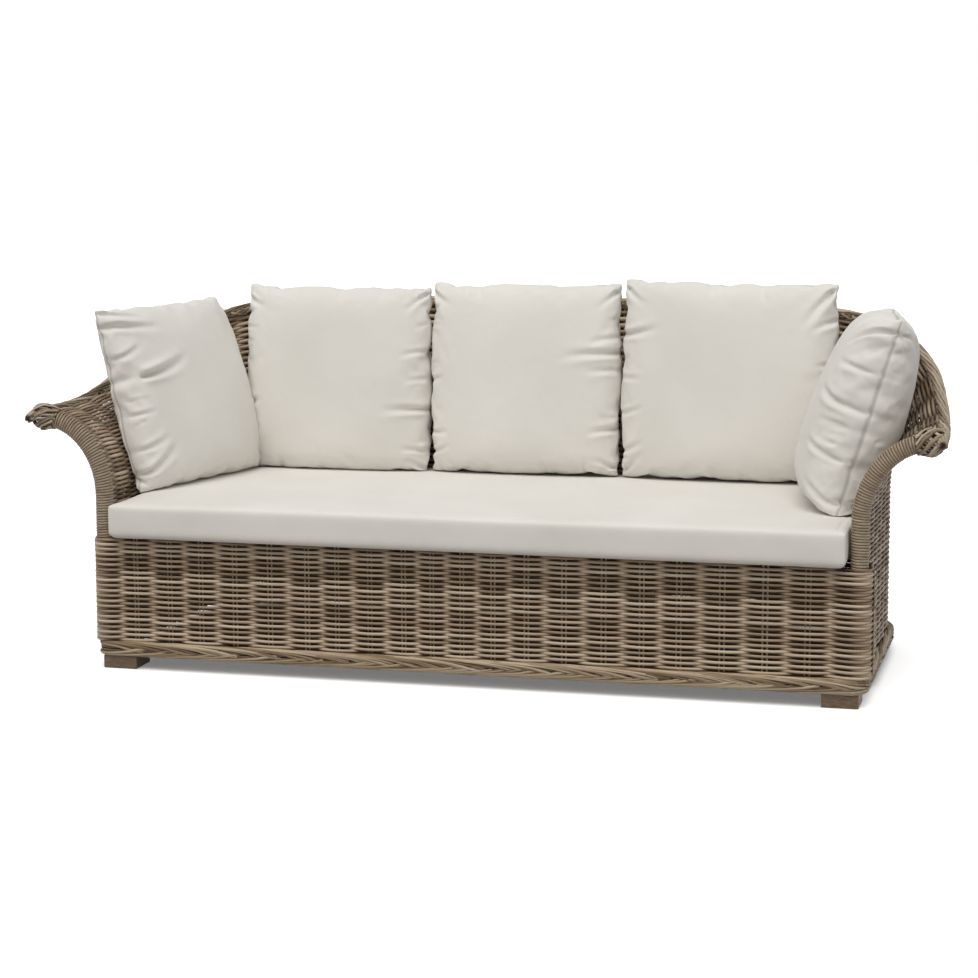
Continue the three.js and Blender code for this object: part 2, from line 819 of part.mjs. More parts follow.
// Seat cushion: rounded outline, soft edges with a sewn seam in each, bowed sides and a low crown
const uprightOffset = -(wallThickness / 2 + wallGap + uprightRadius);
const seatBackY = wallBackY + uprightOffset - uprightRadius - seatBackGap;

function seatOutline(inset) {
  const corners = [
    { x: -1, y: seatFrontY, radius: seatFrontCorner, start: Math.PI },
    { x: 1, y: seatFrontY, radius: seatFrontCorner, start: -quarterTurn },
    { x: 1, y: seatBackY, radius: seatBackCorner, start: 0 },
    { x: -1, y: seatBackY, radius: seatBackCorner, start: quarterTurn },
  ];
  const points = [];
  for (const corner of corners) {
    const radius = Math.max(corner.radius - inset, seatEdgeRadius);
    const middleX = corner.x * (seatHalfLength - inset - radius);
    const toMiddle = corner.y === seatFrontY ? 1 : -1;
    const middleY = corner.y + toMiddle * (inset + radius);
    const steps = corner.radius > seatFrontCorner ? cornerSteps : frontCornerSteps;
    for (const angle of evenly(corner.start, corner.start + quarterTurn, steps)) {
      points.push([middleX + radius * Math.cos(angle), middleY + radius * Math.sin(angle)]);
    }
  }
  return points;
}

function seatCrownZ(inset) {
  return seatTopZ + seatCrown * (1 - Math.exp(-inset / seatCrownRun)) - seatCrown;
}

// Height of the cushion's top, with the soft edge that the pillows may overhang
function seatTopAt(x, y) {
  const inset = Math.min(seatHalfLength - Math.abs(x), y - seatFrontY, seatBackY - y);
  if (inset >= seatEdgeRadius + seatSideBow) return seatCrownZ(inset);
  const reachShare = Math.min(Math.max((inset - seatSideBow) / seatEdgeRadius, 0), 1);
  const sine = 1 - reachShare;
  return seatCrownZ(seatEdgeRadius) - seatEdgeRadius * (1 - Math.sqrt(1 - sine * sine));
}

function addSeatCushion() {
  const shoulderZ = seatCrownZ(seatEdgeRadius);
  const seamTurn = quarterTurn / 2;
  const turns = [0, seamTurn / 2, seamTurn - seamHalfAngle, seamTurn, seamTurn + seamHalfAngle,
    (quarterTurn + seamTurn) / 2, quarterTurn];
  const edge = turns.map((turn) => {
    const radius = seatEdgeRadius - (turn === seamTurn ? seamDepth : 0);
    const inset = seatSideBow + seatEdgeRadius - radius * Math.sin(turn);
    return [inset, seatEdgeRadius - radius * Math.cos(turn)];
  });
  const profile = edge.map(([inset, rise]) => [inset, seatBottomZ + rise]);
  profile.push([0, (seatBottomZ + seatTopZ) / 2]);
  for (const [inset, fall] of edge.slice().reverse()) profile.push([inset, shoulderZ - fall]);
  for (const inset of seatCrownInsets) profile.push([inset, seatCrownZ(inset)]);
  const rings = profile.map(([inset, z]) => seatOutline(inset).map(([x, y]) => at(x, y, z)));
  addPiece('seat_cushion', joinRings(rings), 'cloth');
}

// Pillow: a crowned square that is thickest in the middle, with sides drawn in between its corners
function pillowGeometry(pillow, width) {
  const height = pillow.height * pillowHeight;
  const pull = pillowSidePullShare * pillowHeight;
  const grid = (depth) => {
    const rows = [];
    for (let i = 0; i <= pillowCells; i += 1) {
      const row = [];
      for (let k = 0; k <= pillowCells; k += 1) {
        const u = Math.sin(quarterTurn * ((2 * i) / pillowCells - 1));
        const v = Math.sin(quarterTurn * ((2 * k) / pillowCells - 1));
        const crown = Math.pow((1 - u * u) * (1 - v * v), pillowFullness);
        const x = u * (width / 2 - pull * (1 - v * v));
        const z = v * (height / 2 - pull * (1 - u * u));
        const edge = i === 0 || k === 0 || i === pillowCells || k === pillowCells;
        row.push(at(x, edge ? 0 : depth * crown, z));
      }
      rows.push(row);
    }
    return rows;
  };
  const front = grid(-pillow.frontDepth * pillowHeight);
  const back = grid(pillow.backDepth * pillowHeight);
  const points = [];
  for (let i = 0; i < pillowCells; i += 1) {
    for (let k = 0; k < pillowCells; k += 1) {
      const cell = [[i, k], [i + 1, k], [i + 1, k + 1], [i, k + 1]];
      // The diagonals run out to the corners, so that no corner is left without thickness
      if (i < pillowCells / 2 !== k < pillowCells / 2) cell.push(cell.shift());
      quad(points, ...cell.map(([a, b]) => front[a][b]));
      quad(points, ...cell.reverse().map(([a, b]) => back[a][b]));
    }
  }
  return fromTriangles(points);
}

// Sets a turned pillow down on the seat cushion
function seatPillow(mesh) {
  const place = mesh.geometry.getAttribute('position');
  const point = new THREE.Vector3();
  let drop = Infinity;
  for (let i = 0; i < place.count; i += 1) {
    point.fromBufferAttribute(place, i).applyEuler(mesh.rotation).add(mesh.position);
    drop = Math.min(drop, point.z - seatTopAt(point.x, point.y));
  }
  mesh.position.z += restGap - drop;
}

function addPillows() {
  const depth = seatBackY - seatFrontY;
  for (const pillow of pillows) {
    const width = pillow.width * (pillow.name.startsWith('back') ? seatHalfLength : depth);
    const mesh = addPiece(pillow.name, pillowGeometry(pillow, width), 'cloth');
    mesh.rotation.order = 'ZXY';
    mesh.rotation.x = -THREE.MathUtils.degToRad(pillow.lean);
    mesh.rotation.y = THREE.MathUtils.degToRad(pillow.roll);
    mesh.rotation.z = THREE.MathUtils.degToRad(pillow.azimuth);
    const y = seatBackY - pillow.fromBack * depth;
    mesh.position.set(pillow.place * seatHalfLength, y, seatTopZ + pillowHeight / 2);
    seatPillow(mesh);
  }
}

addFeet();
addBaseRing();
addSeatRing();
addLegs();
addSlats();
addWingPosts();
addBindings();
addWalls();
addUprights();
addTopBorder();
addBottomBorder();
addSeatCushion();
addPillows();

// The reference point is under the middle of the whole sofa
const reach = new THREE.Box3().setFromObject(sofa, true);
const middle = reach.getCenter(new THREE.Vector3());
sofa.position.set(-middle.x, -middle.y, 0);

const group = new THREE.Group();
group.add(sofa);

export default group;
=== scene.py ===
# %% [markdown]
# # A rattan garden sofa, dressed in cells
# The CAD model gives the exact frame of a three-seat basket sofa: poles, walls, borders, feet and
# plain cushions. This lesson loads it, leaves it where it is, and lays the real surfaces over it:
# thousands of bent rattan strands made by Geometry Nodes, and cushions filled by simulation.
# The frame comes first, because every later piece is placed from it.

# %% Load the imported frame
import math
from functools import partial

import bpy
import numpy as np
from mathutils import Matrix, Vector
from mathutils.bvhtree import BVHTree


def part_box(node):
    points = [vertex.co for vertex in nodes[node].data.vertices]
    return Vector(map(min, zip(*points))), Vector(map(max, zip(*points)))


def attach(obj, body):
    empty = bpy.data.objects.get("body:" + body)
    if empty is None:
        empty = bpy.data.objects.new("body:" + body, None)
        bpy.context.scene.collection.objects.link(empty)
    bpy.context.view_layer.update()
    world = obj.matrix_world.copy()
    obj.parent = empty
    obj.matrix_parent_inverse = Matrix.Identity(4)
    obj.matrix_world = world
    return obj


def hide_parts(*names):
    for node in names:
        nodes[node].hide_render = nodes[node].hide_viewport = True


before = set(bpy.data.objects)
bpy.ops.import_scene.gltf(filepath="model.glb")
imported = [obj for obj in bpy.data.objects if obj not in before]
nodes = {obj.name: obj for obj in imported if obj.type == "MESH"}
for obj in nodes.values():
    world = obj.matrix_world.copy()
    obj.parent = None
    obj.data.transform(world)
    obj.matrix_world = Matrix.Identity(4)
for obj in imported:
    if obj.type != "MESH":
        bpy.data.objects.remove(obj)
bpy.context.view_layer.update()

scene = bpy.context.scene
MM = 0.001

# %% [markdown]
# ## Where the photographer stood
# The camera was found by matching level and square edges, such as the feet, the bottom border and
# the seat cushion. It stands 6 m away, to the right of the middle and at head height, and looks
# slightly down. A long lens keeps the arms from looking stretched.

# %% Camera
PHOTO_SIDE_PX, FOCAL_PX = 978, 2500
YAW, PITCH, ROLL = 0.254, 0.149, -0.003
CAMERA_PLACE = (1.519, -6.054, 1.356)

level = math.cos(PITCH)
ahead = Vector((-math.sin(YAW) * level, math.cos(YAW) * level, -math.sin(PITCH)))
level_right = Vector((math.cos(YAW), math.sin(YAW), 0))
level_up = level_right.cross(ahead)
right = level_right * math.cos(ROLL) + level_up * math.sin(ROLL)
up = level_up * math.cos(ROLL) - level_right * math.sin(ROLL)

lens = bpy.data.cameras.new("photo_lens")
lens.sensor_width = 36
lens.lens = lens.sensor_width * FOCAL_PX / PHOTO_SIDE_PX
camera = bpy.data.objects.new("photo_camera", lens)
turn = Matrix((right, up, -ahead)).transposed()
camera.matrix_world = Matrix.Translation(CAMERA_PLACE) @ turn.to_4x4()
scene.collection.objects.link(camera)
scene.camera = camera
print("lens:", round(lens.lens, 1), "mm")

# %% [markdown]
# ## Colours and nodes
# Colours are written as sRGB hex values, the way a colour picker shows them, and turned into the
# linear values that Blender computes with. One helper adds any node, so that each material below
# reads as a list of what it is made of.

# %% Helpers for colours and nodes
MATHS, VECTORS, COMBINE = "ShaderNodeMath", "ShaderNodeVectorMath", "ShaderNodeCombineXYZ"
SEPARATE, NOISE, RANGE = "ShaderNodeSeparateXYZ", "ShaderNodeTexNoise", "ShaderNodeMapRange"
MIX, RAMP, BUMP = "ShaderNodeMix", "ShaderNodeValToRGB", "ShaderNodeBump"
SHADER, OUTPUT = "ShaderNodeBsdfPrincipled", "ShaderNodeOutputMaterial"
OF_COLOURS = {"data_type": "RGBA"}
WHITE = (1.0, 1.0, 1.0, 1.0)


def hex_colour(text):
    """An sRGB hex colour as linear red, green, blue and alpha."""
    parts = [int(text[i : i + 2], 16) / 255 for i in (1, 3, 5)]
    return [c / 12.92 if c <= 0.04045 else ((c + 0.055) / 1.055) ** 2.4 for c in parts] + [1.0]


def add_node(tree, kind, settings=None, *values, **sockets):
    """Adds a node with its settings and links.

    The settings are a dictionary, or only an operation's name. The values go to the inputs in
    order, and the sockets to those of that name, with _ for a space, or in6 for one by its number.
    A node that is given as a value stands for its first output.
    """
    node = tree.nodes.new(kind)
    if isinstance(settings, str):
        settings = {"operation": settings}
    for name, value in (settings or {}).items():
        if name != "steps":
            setattr(node, name, value)
            continue
        # The places and hex colours of a colour ramp
        elements = node.color_ramp.elements
        while len(elements) < len(value):
            elements.new(0.5)
        for element, (place, colour) in zip(elements, value):
            element.position = place
            element.color = hex_colour(colour)
    wanted = list(enumerate(values))
    for key, value in sockets.items():
        numbered = key[:2] == "in" and key[2:].isdigit()
        wanted.append((int(key[2:]) if numbered else key.replace("_", " "), value))
    for key, value in wanted:
        if isinstance(value, bpy.types.Node):
            value = value.outputs[0]
        if isinstance(value, bpy.types.NodeSocket):
            tree.links.new(value, node.inputs[key])
        else:
            node.inputs[key].default_value = value
    return node


def new_material(name):
    """An empty material, and the function above for its own tree."""
    material = bpy.data.materials.new(name)
    material.use_nodes = True
    material.node_tree.nodes.clear()
    return material, partial(add_node, material.node_tree)


# %% [markdown]
# ## Floor and light
# The photograph has a plain white ground and very soft light from high up in front. The floor is a
# matt pale sheet. To the camera it is as white as paper, and under the sofa a painted shadow
# darkens its colour, so that the openings of the weave look dark. To every other ray it is a quiet
# grey, painted darker under the sofa as well, so that it doesn't throw too much light back up. Two
# suns that fill a wide angle of the sky act like softboxes without falling off with distance: one
# models the cushions, and a very weak one opens the right side.

# %% Floor, sky and suns
# The sofa's footprint on the floor, in metres: shift and half-width across, and depth at the back
SHADE_SHIFT, SHADE_HALF, SHADE_BACK = 0.01, 0.965, 0.54
FLOOR_HALF = 60.0


def make_floor():
    """Matt paper without gloss. Under the sofa a painted shadow darkens its own colour."""
    material, add = new_material("paper_floor")
    path = add("ShaderNodeLightPath").outputs
    seen = add(MATHS, "MAXIMUM", path["Is Camera Ray"], path["Is Glossy Ray"])
    place = add(SEPARATE, None, add("ShaderNodeTexCoord").outputs["Object"]).outputs

    # Straight at the sides, rounded at the back, and fading out behind the sofa
    aside = add(MATHS, "ABSOLUTE", add(MATHS, "ADD", place[0], SHADE_SHIFT))
    across = add(MATHS, "POWER", add(MATHS, "MULTIPLY", aside, 1 / SHADE_HALF), 10.0)
    to_back = add(MATHS, "MULTIPLY", add(MATHS, "MAXIMUM", place[1], 0.0), 1 / SHADE_BACK)
    behind = add(MATHS, "POWER", to_back, 4.0)
    outward = add(MATHS, "POWER", add(MATHS, "ADD", across, behind), 0.25)
    # Each fades between its first two numbers: shares of the footprint, or metres front to back
    footprint, past_front, past_border = (
        add(RANGE, {"interpolation_type": "SMOOTHSTEP"}, *values)
        for values in ((outward, 0.86, 1.02, 1.0, 0.0), (place[1], -0.47, -0.40, 0.0, 1.0),
                       (place[1], -0.23, -0.12, 0.0, 1.0)))
    # Painted shadow under the sofa: a soft one from the front edge in, which only dims the glow,
    # and a deep one from behind the front border, which paints the colour dark and takes the glow
    # away
    under = add(MATHS, "MULTIPLY", footprint, past_front)
    painted_deep_shadow = add(MATHS, "MULTIPLY", footprint, past_border)

    # The deep painted shadow: dark brown to the camera, and a darker grey to other rays, painted
    # too
    shown = add(MIX, OF_COLOURS, painted_deep_shadow, in6=WHITE, in7=hex_colour("#453b30"))
    thrown = add(MIX, OF_COLOURS, painted_deep_shadow, in6=hex_colour("#a6a4a1"), in7=hex_colour("#5e5850"))
    colour = add(MIX, OF_COLOURS, seen, in6=thrown.outputs[2], in7=shown.outputs[2])
    open_floor = add(MATHS, "MULTIPLY", add(MATHS, "SUBTRACT", 1.0, painted_deep_shadow), seen)
    glow = add(MATHS, "MULTIPLY", add(MATHS, "MULTIPLY_ADD", under, -0.4, 0.56), open_floor)
    surface = add(SHADER, Base_Color=colour.outputs[2], Roughness=1.0, Specular_IOR_Level=0.0,
                  Emission_Color=WHITE, Emission_Strength=glow)
    add(OUTPUT, Surface=surface)

    mesh = bpy.data.meshes.new("studio_floor")
    corners = [(x * FLOOR_HALF, y * FLOOR_HALF, 0) for x, y in ((-1, -1), (1, -1), (1, 1), (-1, 1))]
    mesh.from_pydata(corners, [], [(0, 1, 2, 3)])
    mesh.materials.append(material)
    floor = bpy.data.objects.new("studio_floor", mesh)
    scene.collection.objects.link(floor)


def make_sky():
    """An even, slightly cool sky for the light, and plain white where the camera looks past."""
    world = bpy.data.worlds.new("studio_sky")
    world.use_nodes = True
    world.node_tree.nodes.clear()
    add = partial(add_node, world.node_tree)
    path = add("ShaderNodeLightPath").outputs
    seen = add(MATHS, "MAXIMUM", path["Is Camera Ray"], path["Is Transmission Ray"])
    soft = add("ShaderNodeBackground", Color=hex_colour("#f8f9fb"), Strength=0.5)
    white = add("ShaderNodeBackground", Color=WHITE, Strength=1.0)
    add("ShaderNodeOutputWorld", Surface=add("ShaderNodeMixShader", None, seen, soft, white))
    scene.world = world


def add_sun(name, height, turn, power, spread, colour):
    """A sun at a height above the floor, left (-) or right (+) of the front, in degrees."""
    lamp = bpy.data.lights.new(name, "SUN")
    lamp.energy = power
    lamp.angle = math.radians(spread)
    lamp.color = hex_colour(colour)[:3]
    holder = bpy.data.objects.new(name, lamp)
    height, turn = math.radians(height), math.radians(turn)
    level = math.cos(height)
    from_sun = Vector((-level * math.sin(turn), level * math.cos(turn), -math.sin(height)))
    holder.rotation_euler = from_sun.to_track_quat("-Z", "Y").to_euler()
    scene.collection.objects.link(holder)


make_floor()
make_sky()
add_sun("key_sun", 61, -4, 1.68, 44, "#fffcf7")
add_sun("side_sun", 34, 62, 0.06, 50, "#f9fbff")
scene.view_settings.view_transform = "Standard"

# %% [markdown]
# ## Rattan that has stood outdoors
# The strands are kubu-grey rattan core: thin peeled cane, steamed, bent and left to weather. Each
# strand took the stain differently, so the colour changes from strand to strand, with a faint pink
# or green cast, and slowly along each one. Long fibres show as fine streaks. The strands below
# carry three attributes of their own: a tone for each strand, the length run along it, and the
# place around it. Streaks drawn with those follow every bend, which no flat projection could do.
# A fourth tells where a strand dives into the weave, and there shade is painted into the colour.
# The arms, the borders and the bindings are woven tighter, so their grooves are painted darker.

# %% Rattan strand material
STRAND_ROUGHNESS = 0.58
STRANDS_APART = 91.0  # keeps each strand's noise away from the next one's
FIBRES_ALONG, FIBRES_AROUND = 30.0, 14.0
# Painted shade: the near-black brown drawn deep in the grooves of the weave
GROOVE_SHADE = "#2c1b0c"


def strand_material(name, steps, streak=0.2, drifts=8.0, groove_shade=(-0.3, 0.62, 0.8)):
    """Peeled rattan. Groove shade: where painted shade begins and ends, and how strong it is."""
    material, add = new_material(name)
    tone, run, around, recess = (
        add("ShaderNodeAttribute", {"attribute_name": key}).outputs["Fac"]
        for key in ("tone", "run", "around", "recess"))
    far = add(MATHS, "MULTIPLY", tone, STRANDS_APART)
    # Slow change along a strand, with so many drifts in a metre
    drift = add(NOISE, None, add(COMBINE, None, run, far), Scale=drifts, Detail=2.0)
    place = add(MATHS, {"operation": "ADD", "use_clamp": True}, tone,
                add(MATHS, "MULTIPLY_ADD", drift, 0.8, -0.4))
    colour = add(RAMP, {"steps": steps}, place)
    # Fibres: 0.5 mm wide on the real strand and drawn 1 mm wide, so that the render shows them
    fibre_place = add(COMBINE, None, add(MATHS, "MULTIPLY", run, FIBRES_ALONG),
                      add(MATHS, "MULTIPLY", around, FIBRES_AROUND), far)
    fibres = add(NOISE, None, fibre_place, Scale=1.0, Detail=3.0, Roughness=0.65)
    shade = add(RANGE, None, fibres, 0.3, 0.7, 1.0 - streak, 1.0 + streak * 0.4)
    streaked = add(VECTORS, "SCALE", colour, Scale=shade)
    # Shade is painted into the grooves, where a strand faces inward to the wall or the border
    painted_shade = add(RANGE, None, recess, *groove_shade, 0.0)
    shaded_colour = add(MIX, OF_COLOURS, painted_shade, in6=streaked, in7=hex_colour(GROOVE_SHADE))
    gloss = add(RANGE, None, fibres, 0.3, 0.7, STRAND_ROUGHNESS + 0.08, STRAND_ROUGHNESS - 0.08)
    relief = add(BUMP, Strength=0.5, Distance=0.0005, Height=fibres)
    surface = add(SHADER, Base_Color=shaded_colour.outputs[2], Roughness=gloss, Normal=relief,
                  Specular_IOR_Level=0.35)
    add(OUTPUT, Surface=surface)
    return material


def even_steps(*colours):
    """The colours at even places from 0 to 1."""
    return [(i / (len(colours) - 1), colour) for i, colour in enumerate(colours)]


KUBU_STEPS = [(0.0, "#86715a"), (0.25, "#9f8a73"), (0.45, "#ae9880"), (0.6, "#baa28d"),
              (0.8, "#beab92"), (1.0, "#cfbda6")]
# Peeled core left to weather: matt and grey-brown, painted nearly black as shade deep in the weave
kubu_rattan = strand_material("kubu_grey_rattan_strand", KUBU_STEPS, groove_shade=(-0.42, -0.04, 0.92))
# The same cane on the arms: painted shade goes further round each strand, less on the lit left arm
shaded_arm_rattan = strand_material("kubu_grey_rattan_shaded_arm_strand", KUBU_STEPS, groove_shade=(-0.2, 0.62, 0.9))
lit_arm_rattan = strand_material("kubu_grey_rattan_lit_arm_strand", KUBU_STEPS,
                                  groove_shade=(-0.45, 0.42, 0.84))
# The braid at the foot: a warmer tan than the walls, with painted brown shade in its grooves
border_rattan = strand_material(
    "tan_rattan_border_strand", even_steps("#705c45", "#8d785e", "#a48e72", "#b7a387", "#c6b59b"),
    drifts=12.0, groove_shade=(-0.3, 0.5, 0.84))
# Short plaited strands: the tone changes faster along them, and painted shade darkens their grooves
plait_rattan = strand_material(
    "kubu_grey_rattan_plait", even_steps("#6d5c49", "#8d7b66", "#a6957f", "#b9aa95", "#c9bba8"),
    drifts=14.0, groove_shade=(-0.1, 0.84, 0.96))
# Cane pulled tight round the posts: strong streaks that break up the even turns
# and painted shade deep in its grooves
wrap_rattan = strand_material("kubu_rattan_binding_cane", [
    (0.0, "#5c4a38"), (0.25, "#857059"), (0.45, "#a08d77"), (0.7, "#b4a48e"), (1.0, "#cdc0ae")],
    streak=0.28, drifts=36.0, groove_shade=(-0.1, 0.86, 0.97))
# Thin upright rods: plain grey-brown, with no painted shade in their grooves
stake_rattan = strand_material(
    "thin_rattan_stake", even_steps("#7f6f5c", "#9a8a76", "#b3a592"), groove_shade=(-1.2, -1.1, 0.0))
# The core behind the braid: painted dark brown as shade, so that gaps between strands stay quiet
bundle_rattan = strand_material(
    "dark_rattan_core_bundle", even_steps("#5d4e3d", "#776651", "#8c7a63"))
print("strand materials:", [m.name for m in bpy.data.materials if "rattan" in m.name])

# %% [markdown]
# ## Poles, feet and cloth
# The frame's poles are whole rattan cane: smooth, straw-brown, with a dark ring at each joint about
# every 300 mm. The feet are oiled hardwood with the grain running sideways. The cushions wear a
# close outdoor canvas of off-white yarn about 0.6 mm thick, drawn coarser here so that the weave
# still reads from six metres away.

# %% Pole, foot and cloth materials
def pole_material():
    """Whole cane keeps its smooth skin, so it shines softly."""
    material, add = new_material("whole_rattan_pole")
    coords = add("ShaderNodeTexCoord").outputs["Object"]
    patches = add(NOISE, None, coords, Scale=9.0, Detail=4.0)
    colour = add(RAMP, {"steps": [(0.3, "#86704f"), (0.5, "#a08862"), (0.7, "#b59c76")]}, patches)
    joints = add("ShaderNodeTexWave", {"wave_type": "BANDS", "bands_direction": "DIAGONAL"}, coords,
                 Scale=0.9, Distortion=1.5)
    ring = add(RANGE, None, joints.outputs["Fac"], 0.0, 0.03, 0.62, 1.0)
    relief = add(BUMP, Strength=0.3, Distance=0.001, Height=patches)
    surface = add(SHADER, Base_Color=add(VECTORS, "SCALE", colour, Scale=ring), Roughness=0.45,
                  Normal=relief)
    add(OUTPUT, Surface=surface)
    return material


def foot_material():
    """Oil sinks in unevenly: the dark grain stays dull, and the pale grain shines a little."""
    material, add = new_material("oiled_hardwood_foot")
    coords = add("ShaderNodeTexCoord").outputs["Object"]
    # Growth rings 4 mm apart, drawn out five times along the block
    drawn = add("ShaderNodeMapping", None, coords, Scale=(45.0, 45.0, 260.0))
    grain = add(NOISE, None, drawn, Scale=1.0, Detail=5.0, Roughness=0.6)
    colour = add(RAMP, {"steps": [(0.3, "#4c3b2b"), (0.5, "#6a5641"), (0.72, "#836d54")]}, grain)
    worn = add(RANGE, None, grain, 0.0, 1.0, 0.6, 0.42)
    relief = add(BUMP, Strength=0.4, Distance=0.0008, Height=grain)
    add(OUTPUT, Surface=add(SHADER, Base_Color=colour, Roughness=worn, Normal=relief))
    return material


def cloth_material():
    """Close-woven canvas: matt, with a faint fuzz that lightens it where it turns away."""
    material, add = new_material("off_white_outdoor_canvas")
    coords = add("ShaderNodeTexCoord").outputs["Object"]
    slubs = add(NOISE, None, coords, Scale=420.0, Detail=2.0)
    soil = add(NOISE, None, coords, Scale=4.0, Detail=2.0)
    both = add(MATHS, "MULTIPLY_ADD", slubs, 0.5, soil)
    colour = add(RAMP, {"steps": [(0.45, "#e0ddd6"), (0.75, "#e5e2dc"), (1.0, "#e9e6e0")]}, both)
    # A sewn seam is a shade darker, because the light doesn't reach into its fold
    seam = add("ShaderNodeAttribute", {"attribute_name": "seam"}).outputs["Fac"]
    fold = add(RANGE, None, seam, 0.55, 0.95, 1.0, 0.66)
    relief = add(BUMP, Strength=0.25, Distance=0.0006, Height=slubs)
    surface = add(SHADER, Base_Color=add(VECTORS, "SCALE", colour, Scale=fold), Roughness=0.9,
                  Normal=relief, Specular_IOR_Level=0.2, Sheen_Weight=0.1, Sheen_Roughness=0.6)
    add(OUTPUT, Surface=surface)
    return material


rattan_pole, oiled_foot, canvas = pole_material(), foot_material(), cloth_material()

# The CAD nodes that stay get better materials
for name, node in nodes.items():
    if "cushion" in name:
        continue
    for slot in node.material_slots:
        slot.link = "DATA"
        slot.material = oiled_foot if name.startswith("foot_") else rattan_pole
print("dressed nodes:", sum("cushion" not in name for name in nodes))

# %% [markdown]
# ## The basket's shape
# The weaver works round upright stakes that stand straight up to the seat and then lean out, most
# at the wings. The same rule drew the CAD walls: a rounded rectangle in plan, and at each place an
# upright line that turns outward on an arc. It is written again here in millimetres, because the
# strands have to follow it row by row.

# %% Plan line and section of the basket
HALF_WIDTH, FRONT_Y, BACK_Y = 929.0, 22.0, 815.0
BACK_RADIUS = 180.0
WALL_FOOT, KNEE_BACK, KNEE_WING = 69.6, 330.0, 430.0
WING_REACH, WING_TOP, BACK_TOP = 175.0, 629.0, 861.0
CORNER_X, CORNER_Y = HALF_WIDTH - BACK_RADIUS, BACK_Y - BACK_RADIUS
CORNER_ARC = math.pi / 2 * BACK_RADIUS
CORNER_MIDDLE = CORNER_X + CORNER_ARC / 2
ARM_FRONT_Y = 56.356
ARM_END = CORNER_X + CORNER_ARC + CORNER_Y - ARM_FRONT_Y
SIDES = (("left", -1), ("right", 1))

# Shares from the middle of the back to the arm's end, and what the section is like at each
STATIONS = [0, 0.279, 0.434, 0.501, 0.559, 0.618, 0.661, 0.711, 0.784, 0.887, 1]
FLARES = [0.314, 0.3, 0.24, 0.211, 0.229, 0.343, 0.514, 0.697, 0.846, 0.943, 1]
RISES = [1, 0.978, 0.948, 0.892, 0.772, 0.638, 0.539, 0.375, 0.125, -0.004, 0]
TURNS = [0.36, 0.37, 0.38, 0.42, 0.45, 0.52, 0.6, 0.68, 0.78, 0.9, 1]
KNEES = [0, 0, 0.05, 0.15, 0.3, 0.5, 0.65, 0.8, 0.92, 1, 1]

# The CAD places the middle of the whole sofa at the origin; the skirt shows by how much
skirt_low, skirt_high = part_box("wall_front_skirt")
SHIFT_Y = FRONT_Y - (skirt_low.y + skirt_high.y) / 2 / MM
print("shift from the plan line to the frame:", round(SHIFT_Y, 1), "mm")


def table_value(values, at):
    """A smooth curve through the stations."""
    last = len(STATIONS) - 1
    x = min(max(at, 0.0), 1.0)
    k = 0
    while k < last - 1 and x > STATIONS[k + 1]:
        k += 1

    def slope(i):
        low, high = max(i - 1, 0), min(i + 1, last)
        return (values[high] - values[low]) / (STATIONS[high] - STATIONS[low])

    width = STATIONS[k + 1] - STATIONS[k]
    t = (x - STATIONS[k]) / width
    rise = values[k + 1] - values[k]
    start, end = slope(k) * width, slope(k + 1) * width
    return values[k] + t * (start + t * (3 * rise - 2 * start - end + t * (start + end - 2 * rise)))


def plan_point(distance):
    """A place on the plan line and the way out, by the distance from the middle of the back."""
    side = -1.0 if distance < 0 else 1.0
    left = abs(distance)
    if left <= CORNER_X:
        x, y, turn = left, BACK_Y, 0.0
    elif left <= CORNER_X + CORNER_ARC:
        turn = (left - CORNER_X) / BACK_RADIUS
        x = CORNER_X + BACK_RADIUS * math.sin(turn)
        y = CORNER_Y + BACK_RADIUS * math.cos(turn)
    else:
        x, y, turn = HALF_WIDTH, CORNER_Y - (left - CORNER_X - CORNER_ARC), math.pi / 2
    return np.array([side * x, y, 0.0]), np.array([side * math.sin(turn), math.cos(turn), 0.0])


def wall_line(distance, levels):
    """Points up the wall's middle: level 0 is the foot, 1 the knee, 2 the top border."""
    place, out_way = plan_point(distance)
    share = abs(distance) / ARM_END
    flare = WING_REACH * table_value(FLARES, share)
    top = WING_TOP + (BACK_TOP - WING_TOP) * table_value(RISES, share)
    full_turn = math.pi / 2 * table_value(TURNS, share)
    knee = KNEE_BACK + (KNEE_WING - KNEE_BACK) * table_value(KNEES, share)
    lean = np.clip(levels - 1, 0, 1) * full_turn
    out = flare * (1 - np.cos(lean)) / (1 - math.cos(full_turn))
    points = place + out[:, None] * out_way
    points[:, 2] = np.where(levels < 1, WALL_FOOT + (knee - WALL_FOOT) * levels,
                            knee + (top - knee) * np.sin(lean) / math.sin(full_turn))
    return points


def in_frame(points):
    """Millimetres from the plan's own origin to metres in the frame."""
    return (np.asarray(points) - np.array([0.0, SHIFT_Y, 0.0])) * MM


def smooth_step(value):
    t = np.clip(value, 0.0, 1.0)
    return t * t * (3 - 2 * t)


def spaced(start, end, step=12.0):
    """Even places from the start to the end, about a step apart."""
    return np.linspace(start, end, max(int(abs(end - start) / step), 2) + 1)


def run_lengths(path):
    """How far each point lies along a path."""
    return np.concatenate([[0], np.cumsum(np.linalg.norm(np.diff(path, axis=0), axis=1))])


def with_mirror(half):
    """A path from the middle to the right, and its mirror image on the left before it."""
    return np.concatenate([(half * np.array([-1.0, 1.0, 1.0]))[::-1], half[1:]])


# %% [markdown]
# ## Stakes
# The uprights of the weave stand about 90 mm apart. The front ones are set where the photograph
# shows them, a little unevenly, because they were pushed in by hand. Places are counted round the
# basket from the middle of the front, so the count of stakes also says whether a strand passes in
# front of a stake or behind it. There are 60 in all: an even number, so the two ways round agree.

